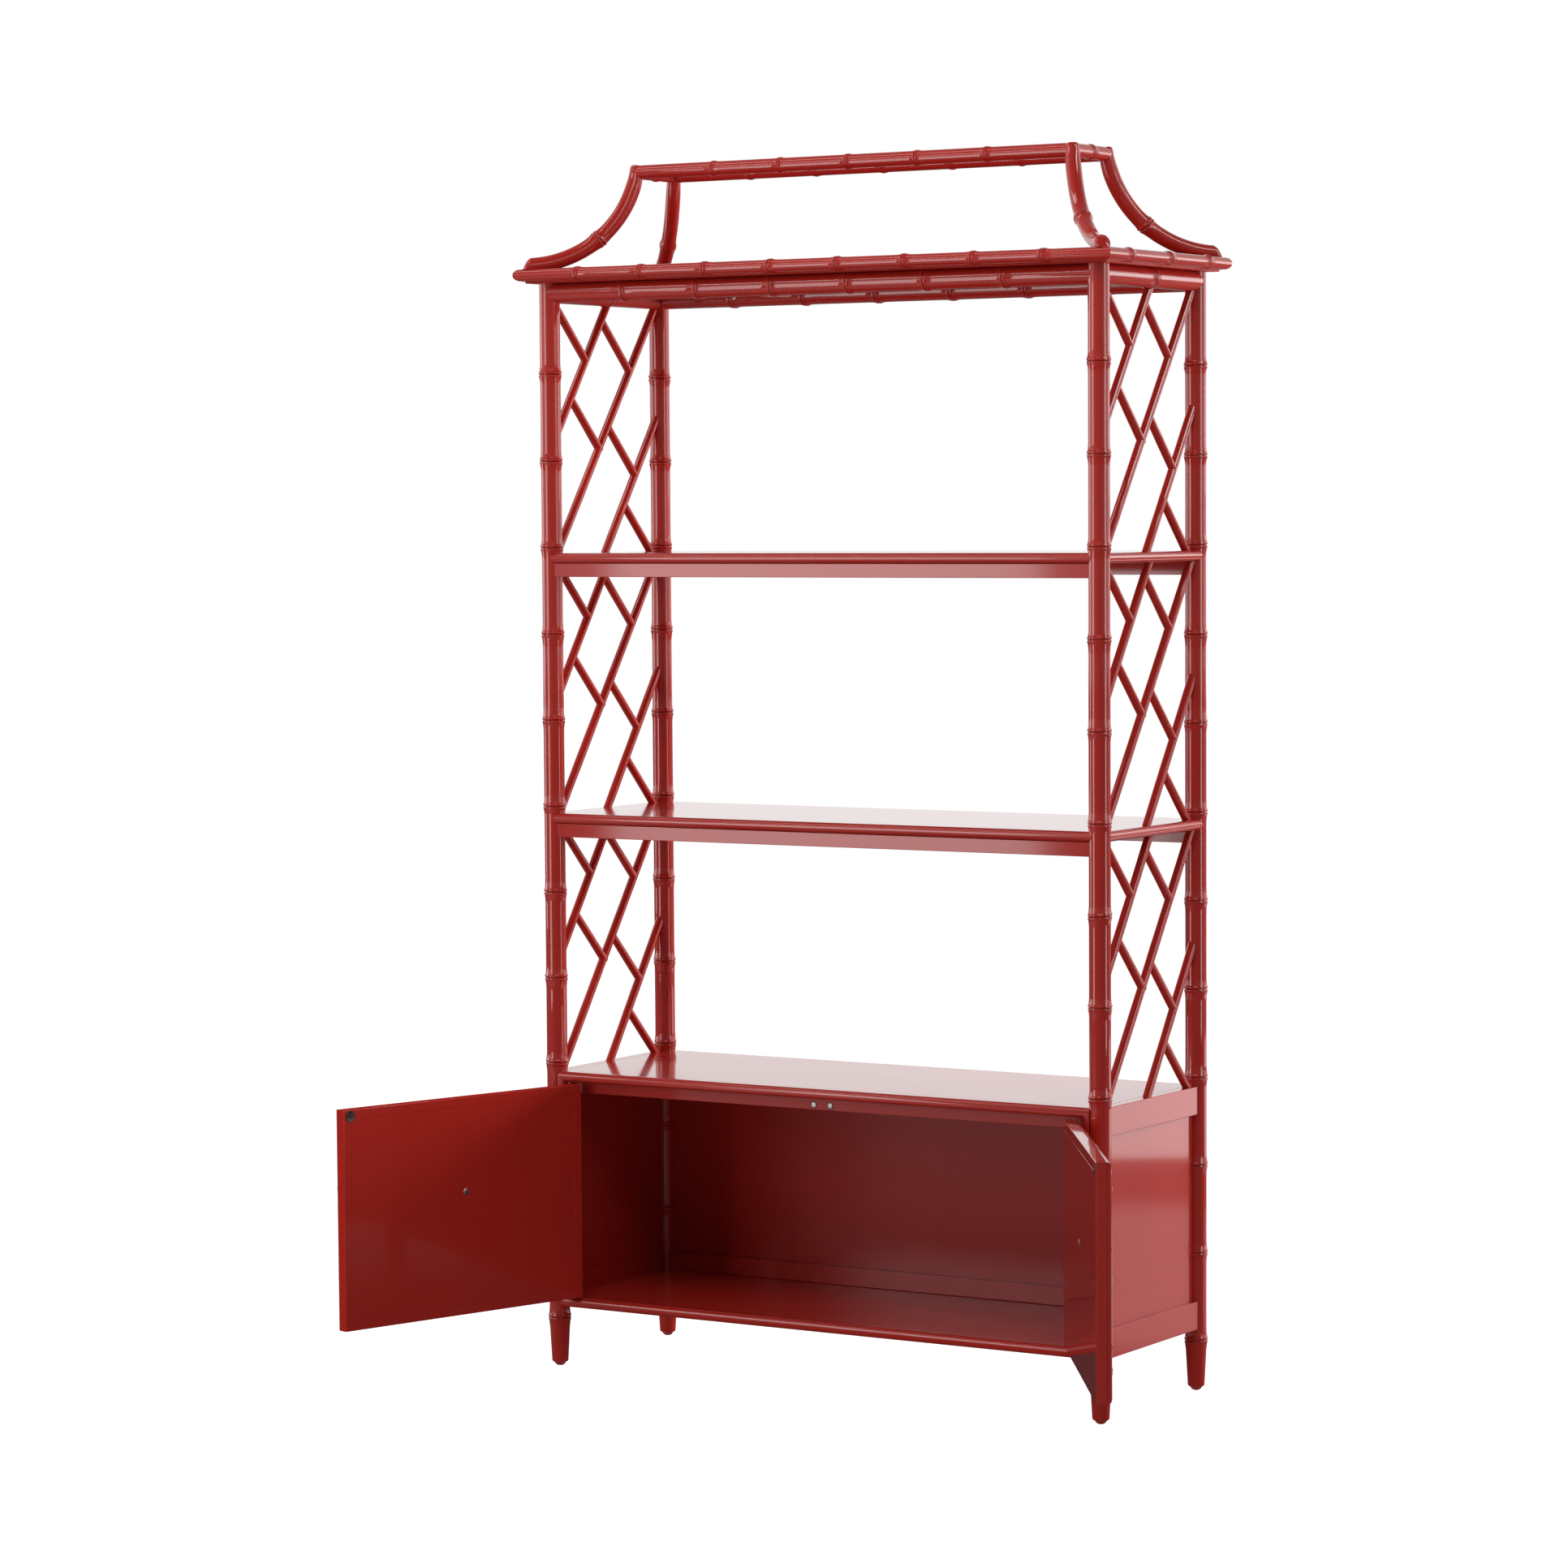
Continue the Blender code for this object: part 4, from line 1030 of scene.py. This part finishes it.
front, back = pin_offset, pin_offset + door_thickness
slab_rows = np.concatenate([
    [[0.03, front]], eased(front, back, 0.0012),
    [[scribe_in - scribe_width, back], [scribe_in - scribe_width / 2, back - scribe_depth],
     [scribe_in + scribe_width / 2, back - scribe_depth], [scribe_in + scribe_width, back], [0.03, back]],
])
slab_dry = np.isin(np.arange(len(slab_rows)), [4, 5, 6, 7]).astype(float)
for side, direction, swing, pivot in doors:
    def hung(a, b, level):
        return np.moveaxis(swung(np.stack([direction * a, level, b], axis=-1), swing, pivot), -1, 0)
    outline = rectangle(-moulding_radius, door_width - moulding_radius, 0.0, door_height)
    board(f"{side}_door_slab", outline, slab_rows, hung, board_lacquer["z"], [f"{side}_door"], f"{side}_door",
          slab_dry if side == "left" else None)
print("door slab", round(door_width, 4), "by", round(door_height, 4))

# %% Run the bamboo moulding
moulding_size = 0.37
across_rings = 0.141 + 0.1524 * np.arange(3)
upright_rings = 0.084 + 0.1524 * np.arange(2)


def moulding_side(length, rings, seed):
    """One half-round side: along, out and lift. Its ends run out by the distance out, which makes the mitre."""
    along = stations(0.0, length, rings)
    turn = np.linspace(0, np.pi, 15)
    thick, cut = bamboo(along, turn, rings, moulding_radius, moulding_size, seed)
    out, lift = np.minimum(thick, moulding_radius) * np.cos(turn), thick * np.sin(turn)
    still = 0.025
    start = np.clip(1 - along / still, 0, 1)[:, None]
    stop = np.clip(1 - (length - along) / still, 0, 1)[:, None]
    return along[:, None] - start * out + stop * out, out, np.maximum(lift, 0.0001), cut


def moulding(seed):
    """Four sides in turn round the door, each starting from the corner where the last one ends."""
    wide, tall = door_width - 2 * moulding_radius, door_height - 2 * moulding_radius
    upright = upright_rings[upright_rings < tall - 0.01]
    runs = (((0.0, 0.0), (1, 0), (0, -1), wide, across_rings), ((wide, 0.0), (0, 1), (1, 0), tall, upright),
            ((wide, tall), (-1, 0), (0, 1), wide, wide - across_rings[::-1]),
            ((0.0, tall), (0, -1), (-1, 0), tall, tall - upright[::-1]))
    grids, cuts = [], []
    for number, (corner, way, outward, length, rings) in enumerate(runs):
        along, out, lift, cut = moulding_side(length, rings, seed + number)
        a = corner[0] + way[0] * along + outward[0] * out
        b = corner[1] + moulding_radius + way[1] * along + outward[1] * out
        grids.append(np.stack([a, pin_offset - lift + 0.0002, b], axis=-1)[:-1])
        cuts.append(cut[:-1])
    return np.concatenate(grids), np.concatenate(cuts)


for side, direction, swing, pivot in doors:
    grid, cut = moulding(300)
    grid = swung(grid * [direction, 1, 1], swing, pivot)
    put(f"{side}_door_moulding_bamboo", grid, tube(grid, "ring"), round_lacquer["z"], f"{side}_door",
        [f"{side}_door_moulding"], groove_shade=cut)
print("moulding", triangles["left_door_moulding_bamboo"])

# %% [markdown]
# ## Knobs, screws, strikes and pins
# The knob shows in the photograph only by the screw that holds it, a small domed head on each inner face. The knob
# itself is a plain turned brass one. A dark round strike with its own screw sits near the top free corner of each
# door, where the magnets pull. All of these are turned shapes, and the screw slots are cut by lowering the dome
# along a cross.

# %% Turn the knobs and pins
knob_radius, knob_reach, knob_lift = 0.0125, 0.027, 0.025
knob_shape = np.array([[0.0, 0.5], [0.03, 0.62], [0.08, 0.64], [0.12, 0.5], [0.26, 0.36], [0.4, 0.42], [0.52, 0.82],
                       [0.68, 1.0], [0.84, 0.88], [0.95, 0.6], [1.0, 0.2], [1.003, 0.01]])


def smooth_rows(rows, per_step=6):
    """Rows drawn through the given points by a Catmull-Rom curve: cubic pieces whose slope at each point follows its
    two neighbours."""
    padded = np.concatenate([rows[:1], rows, rows[-1:]])
    t = np.linspace(0, 1, per_step, endpoint=False)[None, :, None]
    p0, p1, p2, p3 = (padded[i:len(rows) - 1 + i, None, :] for i in range(4))
    curve = p1 + 0.5 * t * (p2 - p0 + t * (2 * p0 - 5 * p1 + 4 * p2 - p3 + t * (3 * (p1 - p2) + p3 - p0)))
    return np.concatenate([curve.reshape(-1, rows.shape[1]), rows[-1:]])


def lay_forward(grid, x, y, z, way):
    """Turn an upright turned shape so that it points along y, forward or back, and move its base to a place."""
    return np.stack([x + grid[..., 0], y + way * grid[..., 2], z + grid[..., 1]], axis=-1)


knob_rows = smooth_rows(knob_shape)[:, ::-1] * [knob_radius, knob_reach]
knob_a = door_width / 2 - moulding_radius
knob_z = door_height / 2 + knob_lift
for side, direction, swing, pivot in doors:
    grid = swung(lay_forward(turned(knob_rows, 40), direction * knob_a, pin_offset, knob_z, -1), swing, pivot)
    put(f"{side}_door_knob_turned", grid, tube(grid), brass, f"{side}_door", [f"{side}_door_knob"])
    for tier, flip in (("upper", 1), ("lower", -1)):
        name = f"{side}_{tier}_hinge_pin"
        low, high = (corner[2] for corner in box(name))
        tall = high - low
        pin_rows = np.array([[0.0012, 0.0], [0.002, 0.001], [0.002, tall - 0.0014], [0.0041, tall - 0.0014],
                             [0.0045, tall - 0.001], [0.0045, tall - 0.0003], [0.0042, tall]])
        grid = turned(pin_rows, 24) * [1, 1, flip] + [pivot[0], pivot[1], low if flip > 0 else high]
        put(name + "_turned", grid, tube(grid), round_lacquer["z"], "case", [name])
print("knob", triangles["left_door_knob_turned"])

# %% Set the screws and strikes


def screw_head(radius, crown, slot_width, slot_depth):
    """A low dome with a cross cut in it: height falls with the square of the radius, and drops in two slots. The slots
    come back as a mark where shade is painted.
    """
    share = np.concatenate([np.linspace(1.0, 0.04, 22)])[:, None]
    turn = angles(56)
    x, y = radius * share * np.cos(turn), radius * share * np.sin(turn)
    slot = np.maximum(np.exp(-(x / slot_width) ** 8), np.exp(-(y / slot_width) ** 8)) * (share < 0.72)
    level = crown * (1 - share ** 2) + 0.0002 - slot_depth * slot
    skirt = np.stack([radius * np.cos(turn), radius * np.sin(turn), 0 * turn - 0.0005], axis=-1)[None]
    grid = np.concatenate([skirt, np.stack([x, y, level], axis=-1)])
    return grid, np.concatenate([0 * turn[None], slot * 0.9])


def washer(radius, hole, thick):
    """A round plate with an eased rim, dished towards its screw."""
    rows = [[radius, -0.0004], [radius, thick * 0.6], [radius - thick * 0.4, thick], [hole * 1.5, thick * 0.9],
            [hole, thick * 0.3], [0.0002, thick * 0.25]]
    return turned(np.array(rows), 48)


strike_radius, strike_in, strike_down, strike_thick = 0.0096, 0.0145, 0.0118, 0.0007
strike_a = door_width - moulding_radius - strike_in
strike_z = door_height - strike_down
for side, direction, swing, pivot in doors:
    body = f"{side}_door"
    grid, slot = screw_head(0.0062, 0.0015, 0.0008, 0.0007)
    laid = swung(lay_forward(grid, direction * knob_a, back, knob_z, 1), swing, pivot)
    put(f"{side}_knob_screw", laid, tube(laid), screw_zinc, body, groove_shade=slot)
    grid = washer(strike_radius, 0.0042, strike_thick)
    laid = swung(lay_forward(grid, direction * strike_a, back, strike_z, 1), swing, pivot)
    put(f"{side}_strike", laid, tube(laid), dark_steel, body)
    grid, slot = screw_head(0.0042, 0.0003, 0.0007, 0.0004)
    laid = swung(lay_forward(grid, direction * strike_a, back + 0.0001, strike_z, 1), swing, pivot)
    put(f"{side}_strike_screw", laid, tube(laid), dark_steel, body, groove_shade=slot)
print("strikes at", round(strike_a, 4), round(strike_z, 4))

# %% [markdown]
# ## Magnet catch
# Two small magnets sit side by side in the header, each a bright disc in a steel cup with a dark line between
# them. They are turned shapes on one plate behind the header, and shade is painted onto the line and the cup's rim.

# %% Set the magnets
magnet_radius, magnet_spread, magnet_drop, magnet_back = 0.0058, 0.0165, 0.002, 0.0008
catch_low, catch_high = (corner - home for corner in box("magnet_catch"))
catch_level = (catch_low[2] + catch_high[2]) / 2 - magnet_drop
cup = np.array([[1.0, 0.015], [1.0, 0.0006], [0.97, 0.0002], [0.92, 0.0], [0.87, 0.0], [0.85, 0.0008], [0.8, 0.0008],
                [0.78, 0.0003], [0.6, 0.0001], [0.3, 0.0], [0.02, 0.0]]) * [magnet_radius, 1.0]
# Painted shade: how dark each row of a cup is painted, darkest round the rim.
cup_shade = np.array([0.8, 0.9, 0.85, 0.8, 0.85, 1.0, 1.0, 0.2, 0.0, 0.0, 0.1])
shapes, marks = [], []
for sign in (-1, 1):
    grid = lay_forward(turned(cup, 40), sign * magnet_spread, catch_low[1] + magnet_back, catch_level, 1) + home
    shapes.append((grid.reshape(-1, 3), tube(grid)))
    marks.append(np.repeat(cup_shade, 40))
plate_half, plate_edge = magnet_spread + magnet_radius * 1.6, magnet_radius * 1.4
plate_rows = eased(catch_high[1] - 0.0025, catch_high[1], 0.0005)
loops = inset(rectangle(-plate_half, plate_half, catch_level - plate_edge, catch_level + plate_edge), plate_rows[:, 0])
plate = np.stack([loops[..., 0], np.broadcast_to(plate_rows[:, 1:], loops.shape[:2]), loops[..., 1]], axis=-1) + home
shapes.append((plate.reshape(-1, 3), tube(plate)))
marks.append(np.zeros(plate.shape[0] * plate.shape[1]))
points, faces = gather(shapes)
put("magnet_catch_cups", points, faces, magnet_steel, "case", ["magnet_catch"], np.concatenate(marks))
print("magnet catch", triangles["magnet_catch_cups"])

# %% Print the sizes and finish
print("pieces", len(triangles), "triangles", sum(triangles.values()))
